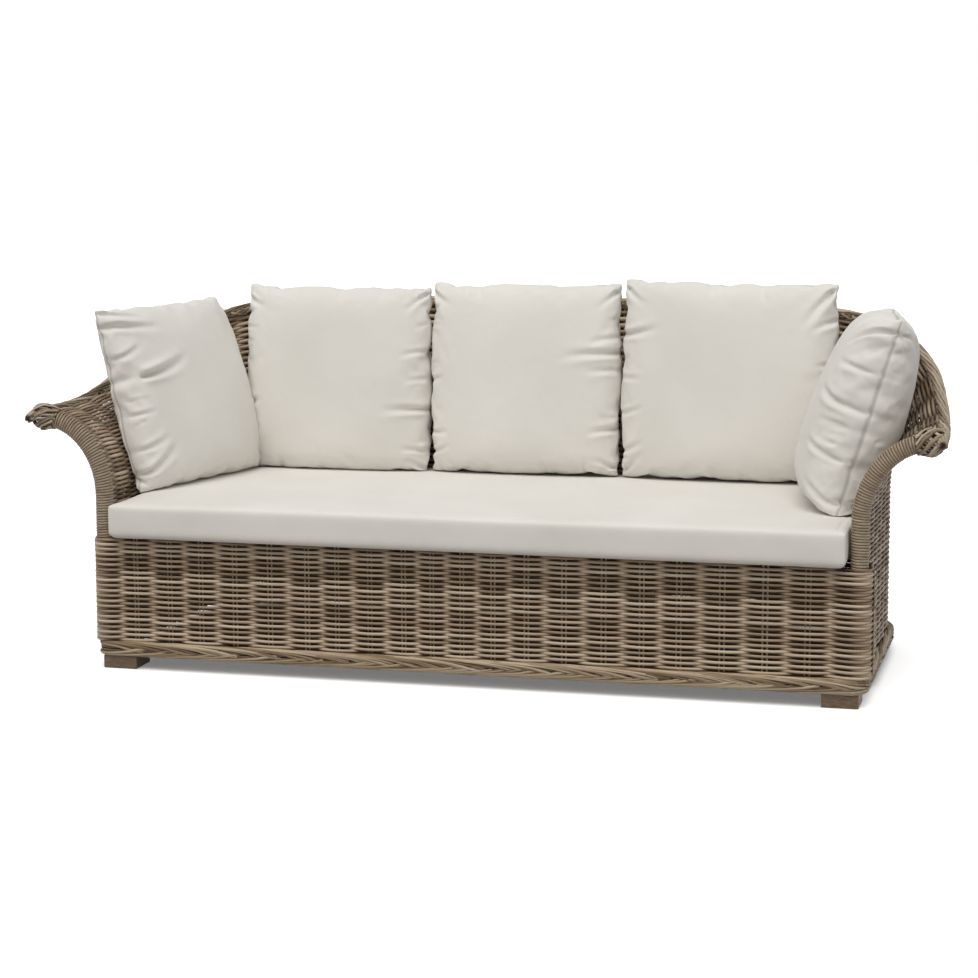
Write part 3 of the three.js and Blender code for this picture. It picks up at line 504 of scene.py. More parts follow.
# %% Where the stakes stand
POST_X, POST_Y, POST_RADIUS = 925.0, 34.5, 17.0
CORNER_BEND = 27.5
CORNER_RUN = math.pi / 2 * CORNER_BEND
FRONT_HALF = POST_X + CORNER_RUN + (ARM_FRONT_Y - POST_Y)
LOOP_HALF = FRONT_HALF + ARM_END
FRONT_SHARES = [-0.91, -0.814, -0.727, -0.632, -0.535, -0.432, -0.351, -0.262, -0.17, -0.095,
                -0.015, 0.067, 0.155, 0.253, 0.356, 0.454, 0.548, 0.658, 0.766, 0.872]
LAST_BEFORE_CORNER = 76.0
ARM_GAPS, BACK_GAPS = 8, 21
FRONT_FIRST = -10
RIGHT_CORNER, LEFT_CORNER = 11, -12
BACK_RIGHT = RIGHT_CORNER + ARM_GAPS + BACK_GAPS / 2
BACK_LEFT = LEFT_CORNER - ARM_GAPS - BACK_GAPS / 2
arm_gap = (ARM_END - CORNER_MIDDLE) / ARM_GAPS
back_gap = 2 * CORNER_MIDDLE / BACK_GAPS

# Each stake as (place, number)
stakes = [(HALF_WIDTH * share, FRONT_FIRST + i) for i, share in enumerate(FRONT_SHARES)]
for side, corner in ((1, RIGHT_CORNER), (-1, LEFT_CORNER)):
    arm_last = corner + side * ARM_GAPS
    back_start = FRONT_HALF + arm_gap * ARM_GAPS
    stakes.append((side * (FRONT_HALF - LAST_BEFORE_CORNER), corner - side))
    stakes += [(side * (FRONT_HALF + arm_gap * k), corner + side * k) for k in range(ARM_GAPS + 1)]
    stakes += [(side * (back_start + back_gap * k), arm_last + side * k)
               for k in range(1, BACK_GAPS // 2 + 1)]
    stakes.append((side * LOOP_HALF, arm_last + side * BACK_GAPS / 2))
stake_places, stake_numbers = np.array(sorted(stakes)).T
print("stakes:", int(BACK_RIGHT - BACK_LEFT), "arm gap:", round(arm_gap), "back gap:",
      round(back_gap))


def stake_count(place):
    return np.interp(place, stake_places, stake_numbers)


# %% [markdown]
# ## Guide surfaces
# Every family of strands is laid on a guide: a plain surface that the strands follow, with its own
# two coordinates. U runs along the basket and counts stakes, and V runs up the wall and counts
# rows. Each point of a guide also knows which way is out, how deep the weave goes there, and how
# far apart the rows are. The guides are only tools and are deleted at the end.

# %% Make a guide
guides = []


def make_guide(name, points, outward, u_values, v_values, depth_share=1.0, pitch_share=1.0):
    """A guide from an array of points in metres, with its U and V values and ways out."""
    nu, nv = points.shape[:2]
    faces = [(i * nv + k, (i + 1) * nv + k, (i + 1) * nv + k + 1, i * nv + k + 1)
             for i in range(nu - 1) for k in range(nv - 1)]
    mesh = bpy.data.meshes.new(name)
    mesh.from_pydata(points.reshape(-1, 3).tolist(), [], faces)
    uv, lay = np.zeros((nu, nv, 3)), np.ones((nu, nv, 3))
    uv[..., 0], uv[..., 1] = np.asarray(u_values)[:, None], v_values
    lay[..., 0], lay[..., 1] = depth_share, pitch_share
    for key, values in (("guide_uv", uv), ("outward", outward), ("lay", lay)):
        layer = mesh.attributes.new(key, "FLOAT_VECTOR", "POINT")
        layer.data.foreach_set("vector", np.ascontiguousarray(values, np.float32).ravel())
    guide = bpy.data.objects.new(name, mesh)
    scene.collection.objects.link(guide)
    guides.append(guide)
    return guide


def ways_out(points, away):
    """Normals of a grid of points, on the side where away lies from its middle column's foot."""
    normal = np.cross(np.gradient(points, axis=0), np.gradient(points, axis=1))
    normal /= np.linalg.norm(normal, axis=2, keepdims=True)
    return -normal if np.dot(normal[len(points) // 2, 0], away) < 0 else normal


print("guides carry: guide_uv, outward and lay")

# %% [markdown]
# ## The strand tree
# One Geometry Nodes tree lays every strand of the basket. It draws straight lines in the guide's
# own flat coordinates, looks up where each point lies on the guide, and lifts it off the surface:
# by a cosine wave that passes in front of one stake and behind the next, and by a little noise,
# because no strand is laid twice the same way. Then a rounded profile is swept along each line.
# The same few numbers make woven rows, stakes, the twist of the border, its tucked ends and the
# cane wound round a post. A tree was chosen over modelled strands because a weave is a rule.

# %% Build the strand tree
STORE, NAMED = "GeometryNodeStoreNamedAttribute", "GeometryNodeInputNamedAttribute"
RANDOM, SPLINE = "FunctionNodeRandomValue", "GeometryNodeSplineParameter"
OF_FLOATS, OF_VECTORS = {"data_type": "FLOAT"}, {"data_type": "FLOAT_VECTOR"}
AT_POINTS = {"data_type": "FLOAT", "domain": "POINT"}
INPUTS = [("Guide", "Object", None), ("Strands", "Int", 10), ("Points", "Int", 20),
          ("First", "Vector", (0, 0, 0)), ("Step", "Vector", (0, 0.1, 0)),
          ("Run", "Vector", (1, 0, 0)), ("Scatter", "Vector", (0, 0, 0)), ("Lift", "Float", 0.0),
          ("Wave", "Float", 0.0), ("Wave Turns", "Float", 0.0), ("Wave Start", "Float", 0.0),
          ("Tuck", "Float", 0.0), ("Unrest", "Float", 0.0), ("Wobble", "Float", 0.0),
          ("Wobble Scale", "Float", 10.0), ("Radius", "Float", 0.003), ("Uneven", "Float", 0.1),
          ("Lens", "Float", 0.0), ("Flatness", "Float", 0.7), ("Sides", "Int", 6),
          ("Seed", "Int", 1), ("Finish", "Material", None)]


def build_strand_tree():
    tree = bpy.data.node_groups.new("lay_strands", "GeometryNodeTree")
    for name, kind, value in INPUTS:
        socket = tree.interface.new_socket(name=name, in_out="INPUT",
                                           socket_type=f"NodeSocket{kind}")
        if value is not None:
            socket.default_value = value
    tree.interface.new_socket(name="Strands", in_out="OUTPUT", socket_type="NodeSocketGeometry")
    add = partial(add_node, tree)
    given = add("NodeGroupInput").outputs

    # Lines: one straight line with the wanted points, repeated for each strand
    line = add("GeometryNodeCurvePrimitiveLine", End=(1, 0, 0))
    beads = add("GeometryNodeResampleCurve", {"mode": "COUNT"}, line, Count=given["Points"])
    copies = add("GeometryNodeDuplicateElements", {"domain": "SPLINE"}, beads,
                 Amount=given["Strands"])
    along = add(SPLINE)
    geometry = add(STORE, {"data_type": "FLOAT", "domain": "CURVE"}, copies, Name="strand",
                   Value=copies.outputs["Duplicate Index"])
    number = add(NAMED, OF_FLOATS, Name="strand")
    chance = add(RANDOM, OF_FLOATS, ID=number, Seed=given["Seed"]).outputs[1]
    stray = add(RANDOM, OF_VECTORS, (-1, -1, -1), (1, 1, 1), ID=number,
                Seed=add(MATHS, "ADD", given["Seed"], 17))

    # Flat place of each point: first + step x number + run x along + scatter
    started = add(VECTORS, "ADD", given["First"],
                  add(VECTORS, "SCALE", given["Step"], Scale=number))
    strayed = add(VECTORS, "ADD", add(VECTORS, "SCALE", given["Run"], Scale=along),
                  add(VECTORS, "MULTIPLY", given["Scatter"], stray))
    apart = add(SEPARATE, None, add(VECTORS, "ADD", started, strayed)).outputs
    noise_place = add(COMBINE, None, add(MATHS, "MULTIPLY", apart[0], given["Wobble Scale"]),
                      add(MATHS, "MULTIPLY", apart[1], given["Wobble Scale"]),
                      add(MATHS, "MULTIPLY", chance, 53.0))
    noise = add(NOISE, None, noise_place, Scale=1.0, Detail=1.0).outputs["Color"]
    unrest = add(SEPARATE, None, add(VECTORS, "SUBTRACT", noise, (0.5, 0.5, 0.5))).outputs
    v_place = add(MATHS, "ADD", apart[1], add(MATHS, "MULTIPLY", unrest[0], given["Wobble"]))
    place = add(COMBINE, None,
                add(MATHS, "MINIMUM", add(MATHS, "MAXIMUM", apart[0], 0.0001), 0.9999),
                add(MATHS, "FRACT", v_place))

    # Read the guide at that place
    guide = add("GeometryNodeObjectInfo", Object=given["Guide"]).outputs["Geometry"]
    guide_uv = add(NAMED, OF_VECTORS, Name="guide_uv")
    spot, way_out, shares = (
        add("GeometryNodeSampleUVSurface", OF_VECTORS, Mesh=guide, Value=value, UV_Map=guide_uv,
            Sample_UV=place)
        for value in (add("GeometryNodeInputPosition"), add(NAMED, OF_VECTORS, Name="outward"),
                      add(NAMED, OF_VECTORS, Name="lay")))
    outward = add(VECTORS, "NORMALIZE", way_out)
    depth_share, pitch_share, _ = add(SEPARATE, None, shares).outputs

    # In front of one stake and behind the next, with ends that dive under
    turns = add(MATHS, "MULTIPLY_ADD", apart[0], given["Wave Turns"], given["Wave Start"])
    swing = add(MATHS, "COSINE", add(MATHS, "MULTIPLY", add(MATHS, "ADD", turns, number), math.pi))
    wave = add(MATHS, "MULTIPLY", add(MATHS, "MULTIPLY", swing, given["Wave"]), depth_share)
    from_middle = add(MATHS, "ABSOLUTE", add(MATHS, "MULTIPLY_ADD", along, 2.0, -1.0))
    dive = add(MATHS, "MULTIPLY", add(MATHS, "POWER", from_middle, 5.0), given["Tuck"])
    loose = add(MATHS, "MULTIPLY", unrest[1], given["Unrest"])
    lift = add(MATHS, "ADD", add(MATHS, "ADD", given["Lift"], wave),
               add(MATHS, "SUBTRACT", loose, dive))
    lifted = add(VECTORS, "ADD", spot, add(VECTORS, "SCALE", outward, Scale=lift))

    # Bulges are thickest where the strand lies in front of or behind a stake
    fullness = add(MATHS, "MULTIPLY_ADD",
                   add(MATHS, "SUBTRACT", add(MATHS, "ABSOLUTE", swing), 1.0), given["Lens"], 1.0)
    thickness = add(MATHS, "MULTIPLY_ADD", add(MATHS, "SUBTRACT", chance, 0.5), given["Uneven"],
                    1.0)
    radius = add(MATHS, "MULTIPLY", add(MATHS, "MULTIPLY", given["Radius"], thickness),
                 add(MATHS, "MULTIPLY", fullness, pitch_share))
    # A strand without a wave counts as being outside everywhere
    waved = add(MATHS, "GREATER_THAN", given["Wave"], 0.0001)
    swung = add(MATHS, "MULTIPLY", add(MATHS, "MULTIPLY", swing, depth_share), waved)
    side_of_stake = add(MATHS, "ADD", swung, add(MATHS, "SUBTRACT", 1.0, waved))
    for name, domain, kind, value in (
            ("tone", "CURVE", "FLOAT", chance), ("strand_radius", "POINT", "FLOAT", radius),
            ("swing", "POINT", "FLOAT", side_of_stake),
            ("strand_out", "POINT", "FLOAT_VECTOR", outward)):
        geometry = add(STORE, {"data_type": kind, "domain": domain}, geometry, Name=name,
                       Value=value)
    strand_out = add(NAMED, OF_VECTORS, Name="strand_out")
    moved = add("GeometryNodeSetPosition", None, geometry, Position=lifted)
    measured = add(STORE, AT_POINTS, moved, Name="run", Value=add(SPLINE).outputs["Length"])
    turned = add("GeometryNodeSetCurveNormal", {"mode": "FREE"}, measured, Normal=strand_out)

    # The profile, flattened towards the guide
    ring = add("GeometryNodeCurvePrimitiveCircle", Resolution=given["Sides"], Radius=1.0)
    marked = add(STORE, AT_POINTS, ring, Name="around", Value=add(SPLINE))
    squash = add(COMBINE, None, given["Flatness"], 1.0, 1.0)
    profile = add("GeometryNodeTransform", None, marked, Scale=squash)
    swept = add("GeometryNodeCurveToMesh", None, turned, profile, Fill_Caps=True,
                Scale=add(NAMED, OF_FLOATS, Name="strand_radius"))
    # Which way each spot faces: away from the wall's middle (above 0) or into the recess (below 0)
    facing = add(VECTORS, "DOT_PRODUCT", add("GeometryNodeInputNormal"), strand_out).outputs[1]
    recess = add(MATHS, "MULTIPLY", facing, add(NAMED, OF_FLOATS, Name="swing"))
    sheltered = add(STORE, AT_POINTS, swept, Name="recess", Value=recess)
    smooth = add("GeometryNodeSetShadeSmooth", None, sheltered)
    real = add("GeometryNodeRealizeInstances", None, smooth)
    coated = add("GeometryNodeSetMaterial", None, real, Material=given["Finish"])
    add("NodeGroupOutput", None, coated)
    return tree


strand_tree = build_strand_tree()
socket_ids = {s.name: s.identifier for s in strand_tree.interface.items_tree if s.in_out == "INPUT"}
print("strand tree:", len(strand_tree.nodes), "nodes,", len(socket_ids), "inputs")


def lay_strands(name, guide, finish, **sizes):
    """Runs the tree on a guide and keeps the result as a plain mesh that rides on the frame."""
    host = bpy.data.objects.new(name + "_host", bpy.data.meshes.new(name + "_host"))
    scene.collection.objects.link(host)
    modifier = host.modifiers.new("strands", "NODES")
    modifier.node_group = strand_tree
    for key, value in {"Guide": guide, "Finish": finish, **sizes}.items():
        modifier[socket_ids[key.replace("_", " ")]] = value
    ready = host.evaluated_get(bpy.context.evaluated_depsgraph_get())
    mesh = bpy.data.meshes.new_from_object(ready)
    bpy.data.objects.remove(host)
    piece = bpy.data.objects.new(name, mesh)
    scene.collection.objects.link(piece)
    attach(piece, "frame")
    triangles = sum(len(p.vertices) - 2 for p in mesh.polygons)
    print(f"{name}: {sizes['Strands']} strands, {triangles} triangles")
    return piece


# %% [markdown]
# ## Guides for the back and the arms
# Rows are level near the floor and follow the border near the top. The back is taller than the
# wings, so the spare height is shared out among the upper rows, which lie a little further apart
# there. Below the seat the arm's rows swell outward at the front, to pass outside the wing post.

# %% Wall guides
ROW_PITCH, WING_PITCH = 6.49, 5.8
BORDER_TUCK = 13.0  # the last stretch below the border's middle has no rows of its own
SWELL_RUN, SWELL_FADE_FROM, SWELL_FADE = 80.0, 320.0, 24.0
fine_levels = np.concatenate([np.linspace(0, 1, 60)[:-1], np.linspace(1, 2, 160)])
wing_run = run_lengths(wall_line(ARM_END, fine_levels))[-1] - BORDER_TUCK
LOW_ROWS = round((KNEE_BACK - WALL_FOOT) / ROW_PITCH)
LOW_RUN = LOW_ROWS * ROW_PITCH
ROWS = LOW_ROWS + round((wing_run - LOW_RUN) / WING_PITCH)
LOW_SHARE = LOW_ROWS / ROWS
print("rows:", ROWS, "of which below the seat:", LOW_ROWS)


def wall_grid(distances, v_values):
    """The wall's points, how far apart its rows lie, and the stake count at each distance."""
    upper = np.clip((v_values - LOW_SHARE) / (1 - LOW_SHARE), 0, 1)
    wing_rest = wing_run - LOW_RUN
    grid, pitch = [], []
    for distance in distances:
        points = wall_line(distance, fine_levels)
        run = run_lengths(points)
        rest = run[-1] - BORDER_TUCK - LOW_RUN
        wanted = np.where(v_values < LOW_SHARE, LOW_RUN * v_values / LOW_SHARE,
                          LOW_RUN + wing_rest * upper + (rest - wing_rest) * upper**1.3)
        column = np.stack([np.interp(wanted, run, points[:, i]) for i in range(3)], axis=1)
        past_post = smooth_step((abs(distance) - (ARM_END - SWELL_RUN)) / SWELL_RUN)
        below_seat = 1 - smooth_step((column[:, 2] - SWELL_FADE_FROM) / SWELL_FADE)
        bump = (POST_X + CORNER_BEND - HALF_WIDTH) * past_post * below_seat
        column[:, 0] += math.copysign(1, distance) * bump
        grid.append(column)
        local = np.gradient(wanted, v_values) / ROWS / ROW_PITCH
        pitch.append(np.convolve(np.pad(local, 3, mode="edge"), np.ones(7) / 7, mode="valid"))
    places = [math.copysign(LOOP_HALF - abs(d), d) for d in distances]
    return in_frame(np.array(grid)), np.array(pitch), stake_count(places)


# %% [markdown]
# ## Rows and stakes
# Every wall is woven the same way, so two functions lay it: one for the level rows, which swing
# from one side of the stakes to the other, and one for the stakes, which are pairs of thin rods.
# They set the sizes that all the walls share, and each wall gives its own.

# %% Rows and stakes of a wall
PAIR_HALF = 0.055  # from a stake's place to each of its two thin rods, as a share of a gap


def lay_rows(name, node, guide, finish, number, gaps, start, points_per_gap, **sizes):
    """Level rows that pass in front of one stake and behind the next, over so many gaps."""
    rows = lay_strands(name + "_rows", guide, finish, Strands=number,
                       Points=int(abs(gaps) * points_per_gap) + 1, First=(0, 0.5 / number, 0),
                       Step=(0, 1 / number, 0), Run=(1, 0, 0), Wave_Turns=float(gaps),
                       Wave_Start=float(start), Unrest=1.3 * MM, **sizes)
    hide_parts(node)


def lay_stakes(name, guide, counts, first, number, points, seed):
    """Paired stakes up a guide, from the first count on."""
    gaps = counts[-1] - counts[0]
    for word, shift in (("a", -PAIR_HALF), ("b", PAIR_HALF)):
        stakes = lay_strands(f"{name}_stakes_{word}", guide, stake_rattan, Strands=number,
                             Points=points, First=((first + shift - counts[0]) / gaps, 0.001, 0),
                             Step=(1 / abs(gaps), 0, 0), Run=(0, 0.998, 0), Radius=2.3 * MM,
                             Uneven=0.2, Unrest=0.8 * MM, Wobble_Scale=9.0, Flatness=0.9, Sides=5,
                             Seed=seed)


def lay_wall(name, node, finish, distances, first_stake, stake_total, back=False):
    """Rows and paired stakes of one wall."""
    v_values = np.linspace(0, 1, 72)
    grid, pitch, counts = wall_grid(distances, v_values)
    if back:
        # Counted from the middle of the back, where both ways round meet
        counts = np.where(np.asarray(distances) < 0, BACK_LEFT, BACK_RIGHT) - counts
    gaps = counts[-1] - counts[0]
    outward = ways_out(grid, grid[len(grid) // 2, 0] * np.array([1.0, 1.0, 0.0]))
    # The upper rows are packed tighter round the stakes, so they swing less
    depth = 1 - 0.22 * smooth_step((v_values - LOW_SHARE) / 0.25)
    guide = make_guide(name + "_guide", grid, outward, (counts - counts[0]) / gaps, v_values,
                       depth, pitch)
    # The arms are seen along their length, so their rows lie closer to the stakes than the back's
    points_per_gap, wave, radius, flatness = (7, 5.6, 4.5, 0.76) if back else (8, 4.6, 4.8, 0.9)
    lay_rows(name, node, guide, finish, ROWS, gaps, counts[0] - (BACK_RIGHT if back else 0),
             points_per_gap, Wave=wave * MM, Wobble=0.0022, Wobble_Scale=23.0, Radius=radius * MM,
             Uneven=0.2, Lens=0.1, Flatness=flatness, Seed=len(guides))
    lay_stakes(name, guide, counts, first_stake, stake_total, 90, 40 + len(guides))


print("stake pairs:", round(2 * PAIR_HALF * back_gap, 1), "mm apart at the back")

# %% [markdown]
# ## The back and the arms
# The back runs from the middle of one rounded corner to the middle of the other, and each arm from
# there into the wing post. The arms start a little before the corner's middle, so that no slit
# opens between two walls.

# %% Weave the back and the arms
ARM_INTO_POST, CORNER_OVERLAP = 12.0, 6.0
lay_wall("back_weave", "wall_back", kubu_rattan, spaced(-CORNER_MIDDLE, CORNER_MIDDLE),
         1 - BACK_GAPS / 2, BACK_GAPS - 1, back=True)
arm_distances = spaced(CORNER_MIDDLE - CORNER_OVERLAP, ARM_END + ARM_INTO_POST)
lay_wall("arm_weave_left", "wall_arm_left", lit_arm_rattan, -arm_distances,
         LEFT_CORNER - ARM_GAPS, ARM_GAPS)
lay_wall("arm_weave_right", "wall_arm_right", shaded_arm_rattan, arm_distances,
         RIGHT_CORNER + ARM_GAPS, ARM_GAPS)

# %% [markdown]
# ## The front skirt
# Below the seat the rows run on round the front corners, outside the wing posts, and across the
# front. The weave is shallower on the tight corners, where the post takes the place of a stake.

# %% Front guide and weave
STEP_RUN = 75.0  # over this length the front steps out to pass the post
SHALLOW_RUN = 45.0


def front_point(place):
    """A point of the front's plan line, by the distance from the middle of the front."""
    side, t = math.copysign(1, place), abs(place)
    if t <= POST_X:
        step = float(smooth_step((t - (POST_X - STEP_RUN)) / STEP_RUN))
        return side * t, FRONT_Y - (FRONT_Y - (POST_Y - CORNER_BEND)) * step
    if t <= POST_X + CORNER_RUN:
        turn = (t - POST_X) / CORNER_BEND
        return side * (POST_X + CORNER_BEND * math.sin(turn)), POST_Y - CORNER_BEND * math.cos(turn)
    return side * (POST_X + CORNER_BEND), POST_Y + (t - POST_X - CORNER_RUN)


def lay_front():
    corner = spaced(POST_X, FRONT_HALF, 4.0)
    places = np.concatenate([-corner[::-1], spaced(-POST_X, POST_X)[1:-1], corner])
    v_values = np.linspace(0, 1, 28)
    grid = np.zeros((len(places), len(v_values), 3))
    grid[..., :2] = np.array([front_point(p) for p in places])[:, None]
    # The top rows are pressed together, a little below the cushion
    grid[..., 2] = WALL_FOOT + LOW_RUN * v_values - 3.0 * smooth_step((v_values - 0.86) / 0.14)
    grid = in_frame(grid)
    counts = stake_count(places)
    gaps = counts[-1] - counts[0]
    depth = 1 - 0.7 * smooth_step((np.abs(places) - (POST_X - SHALLOW_RUN)) / SHALLOW_RUN)
    guide = make_guide("front_weave_guide", grid, ways_out(grid, (0, -1, 0)),
                       (counts - counts[0]) / gaps, v_values, depth[:, None])
    lay_rows("front_weave", "wall_front_skirt", guide, kubu_rattan, LOW_ROWS, gaps, counts[0], 9,
             Wave=5.7 * MM, Wobble=0.006, Wobble_Scale=27.0, Radius=3.5 * MM, Uneven=0.22,
             Flatness=0.95, Seed=3)
    lay_stakes("front", guide, counts, FRONT_FIRST, len(FRONT_SHARES), 30, 61)


lay_front()

# %% [markdown]
# ## Tubes to wind on
# Borders and post bindings are wound round something, so their guides are tubes. U runs along the
# path and V goes once round it, from the outside over the top to the inside.

# %% Tube guides
AROUND = np.linspace(0, 2 * math.pi, 33)
COS_AROUND, SIN_AROUND = np.cos(AROUND), np.sin(AROUND)


def tube_guide(name, path, out_ways, section):
    """A tube round a path in mm. The section gives, for each angle, how far out and how far up."""
    tangent = np.gradient(path, axis=0)
    tangent /= np.linalg.norm(tangent, axis=1, keepdims=True)
    out = out_ways - tangent * np.sum(out_ways * tangent, axis=1, keepdims=True)
    out /= np.linalg.norm(out, axis=1, keepdims=True)
    rise = np.cross(out, tangent)
    rise *= np.where(rise[:, 2:3] < 0, -1, 1)
    run = run_lengths(path)
    across, high = section(run, run[-1])
    away = across[..., None] * out[:, None] + high[..., None] * rise[:, None]
    grid = path[:, None] + away
    away /= np.linalg.norm(away, axis=2, keepdims=True)
    guide = make_guide(name, in_frame(grid), away, run / run[-1], np.linspace(0, 1, len(AROUND)))
    return guide, run[-1]


def round_section(radius, taper=0.0, least=0.55):
    """A round tube that may narrow towards its end, down to the least share of its radius."""

    def section(run, total):
        size = np.full((len(run), 1), radius)
        if taper:
            left = np.clip((total - run) / taper, 0, 1)
            size *= (least + (1 - least) * np.sqrt(left))[:, None]
        return size * COS_AROUND, size * SIN_AROUND

    return section


print("angles round a tube:", len(AROUND))

# %% [markdown]
# ## The top border
# The stakes' ends are bent over at the top and plaited into a rope round a bent pole. Seen from
# inside, five or six strands run along it in a long, loose twist. From outside they cross into a
# lattice, and short ends dive under it. At each wing the rope runs out over the post in a ragged
# point.

# %% Top border path and strands
TIP_RUN, TIP_STRAIGHT, TIP_TAPER = 60.0, 25.0, 24.0
TWIST_STRANDS, TWIST_LENGTH = 9, 430.0
STUB_APART, STUB_LENGTH = 26, 52


def border_path(side, start, end):
    """The border's middle and its way out, from a place on the back to past the wing's post."""
    points, ways = [], []
    for distance in spaced(start, end, 10.0):
        kept = min(distance, ARM_END)
        past = distance - kept
        way = plan_point(side * kept)[1]
        droop = max(past - TIP_STRAIGHT, 0)
        points.append(wall_line(side * kept, np.array([2.0]))[0] + way * droop * 0.15
                      - np.array([0, past, droop * 0.28]))
        ways.append(way)
    return np.array(points), np.array(ways)


def lay_top_border(word, path, ways, taper=0.0):
    name = f"top_border_{word}"
    guide, length = tube_guide(name + "_guide", path, ways, round_section(10.4, taper))
    twist = lay_strands(name + "_twist", guide, plait_rattan, Strands=TWIST_STRANDS,
                        Points=int(length / 8), First=(0, 0, 0), Step=(0, 1 / TWIST_STRANDS, 0),
                        Run=(1, -length / TWIST_LENGTH, 0), Unrest=4.0 * MM, Wobble=0.07,
                        Wobble_Scale=length / 75, Radius=4.0 * MM, Uneven=0.35, Flatness=0.85,
                        Sides=8, Seed=5 + len(word))
    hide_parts(name)
    # Outside, a lattice from the wall's edge up to the side; inside, the stakes' ends tuck under
    number = int(length / STUB_APART)
    for place, low, rise, lift in (("outside", 0.66, 0.3, 4.4), ("inside", 0.69, -0.22, 3.4)):
        for way, first, turn, seed in (("up", low, rise, 11), ("down", low + rise, -rise, 23)):
            stubs = lay_strands(f"{name}_{place}_{way}", guide, plait_rattan, Strands=number,
                                Points=12, First=(0.004, first, 0), Step=(0.975 / number, 0, 0),
                                Run=(STUB_LENGTH / length, turn, 0), Tuck=6.0 * MM,
                                Scatter=(6 / length, 0.025, 0), Lift=lift * MM, Unrest=1.5 * MM,
                                Radius=3.7 * MM, Uneven=0.3, Flatness=0.75, Sides=6, Seed=seed)


for word, side in SIDES:
    lay_top_border(word, *border_path(side, CORNER_MIDDLE, ARM_END + TIP_RUN), TIP_TAPER)
half_path, half_ways = border_path(1, 0.0, CORNER_MIDDLE)
lay_top_border("back", with_mirror(half_path), with_mirror(half_ways))

# %% [markdown]
# ## Cane round the wing posts
# Each wing post is bound from the seat to its tip with round cane, 57 turns pulled tight. The turns
# fan open where the post bends outward. It is one long strand on a tube guide.

# %% Wing bindings
POST_BEND_START, POST_BEND_RISE, POST_BEND_REACH = 430.0, 190.0, 161.1
BINDING_TURNS, TURN_POINTS, BINDING_FOOT = 57, 16, 316.0


def post_path(side, start_height):
    """The post's middle, from a height up to its tip."""
    points = [(side * POST_X, POST_Y, z) for z in spaced(start_height, POST_BEND_START, 6)[:-1]]
    for bend in np.linspace(0, math.pi / 2, 46):
        points.append((side * (POST_X + POST_BEND_REACH * (1 - math.cos(bend))), POST_Y,
                       POST_BEND_START + POST_BEND_RISE * math.sin(bend)))
    return np.array(points)


def bend_frame(path):
    """Ways out that stay in the plane of the bend."""
    tangent = np.gradient(path, axis=0)
    tangent /= np.linalg.norm(tangent, axis=1, keepdims=True)
    return np.cross(tangent, np.array([0.0, 1.0, 0.0]))


# Pulled up on the left's outside, where the stakes' ends lie along the post under the cane
for word, side, pulled, padding in (("left", -1, -3.6, 2.8), ("right", 1, 0.5, 1.7)):
    path = post_path(side, BINDING_FOOT) + np.array([pulled, 0.0, 0.0])
    guide, _ = tube_guide(f"wing_binding_{word}_guide", path, bend_frame(path),
                          round_section(POST_RADIUS + padding))
    cane = lay_strands(f"wing_binding_{word}_cane", guide, wrap_rattan, Strands=1,
                       Points=BINDING_TURNS * TURN_POINTS, First=(0.012, 0.0, 0), Step=(0, 0, 0),
                       Run=(0.965, BINDING_TURNS * side, 0), Unrest=2.4 * MM, Wobble_Scale=71.0,
                       Radius=3.3 * MM, Uneven=0.0, Flatness=0.92, Sides=8, Seed=9)
    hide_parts(f"wing_binding_{word}")

# %% [markdown]
# ## The ends of the wings
# Where the bound post runs out under the border, the last strands cross over its end both ways and
# tuck in, and a few cut ends hang below. The crossing strands lie on a short tube that closes over
# the end of the post. The two ways lean differently on the left and on the right.

# %% Wing tips
CAP_FOOT, CAP_START, CAP_BEYOND = 326.0, 42.0, 26.0
CAP_POINTS, CAP_STRANDS = 60, 16


def cap_section(run, total):
    """Swells past the post's end, then closes round it."""
    swell = POST_RADIUS + 4.5 + 6.5 * smooth_step(run / 34)
    closing = np.clip(run - (total - CAP_BEYOND), 0, None) / CAP_BEYOND
    size = (swell * np.sqrt(np.clip(1 - closing**2, 0.02, 1)))[:, None]
    return size * COS_AROUND, size * SIN_AROUND


for word, side, turn_up, turn_down in (("left", -1, 0.2, 0.07), ("right", 1, 0.34, -0.3)):
    post = post_path(side, CAP_FOOT)
    post = post[run_lengths(post[::-1])[::-1] <= CAP_START]
    beyond = [post[-1] + np.array([side * step, 0.0, 0.0])
              for step in spaced(0, CAP_BEYOND, 2.2)[1:]]
    path = np.concatenate([post, beyond])
    fine = np.linspace(0, len(path) - 1, CAP_POINTS)
    path = np.stack([np.interp(fine, np.arange(len(path)), path[:, i]) for i in range(3)], axis=1)
    path[:, 2] -= 3.0 * smooth_step(np.arange(CAP_POINTS) / (CAP_POINTS / 2) - 1)
    guide, _ = tube_guide(f"wing_tip_{word}_guide", path, bend_frame(path), cap_section)
    for name, way, turn in (("up", 1, turn_up), ("down", -1, turn_down)):
        crossing = lay_strands(f"wing_tip_{word}_{name}", guide, plait_rattan,
                               Strands=CAP_STRANDS, Points=18, First=(0.02, 0.03 * way, 0),
                               Step=(0, 1 / CAP_STRANDS, 0), Run=(0.94, turn, 0),
                               Scatter=(0.06, 0.03, 0), Lift=(1.4 + 1.6 * way) * MM,
                               Unrest=3.0 * MM, Wobble=0.06, Wobble_Scale=4.0, Radius=3.2 * MM,
                               Uneven=0.35, Flatness=0.85, Sides=7, Seed=50 + way)
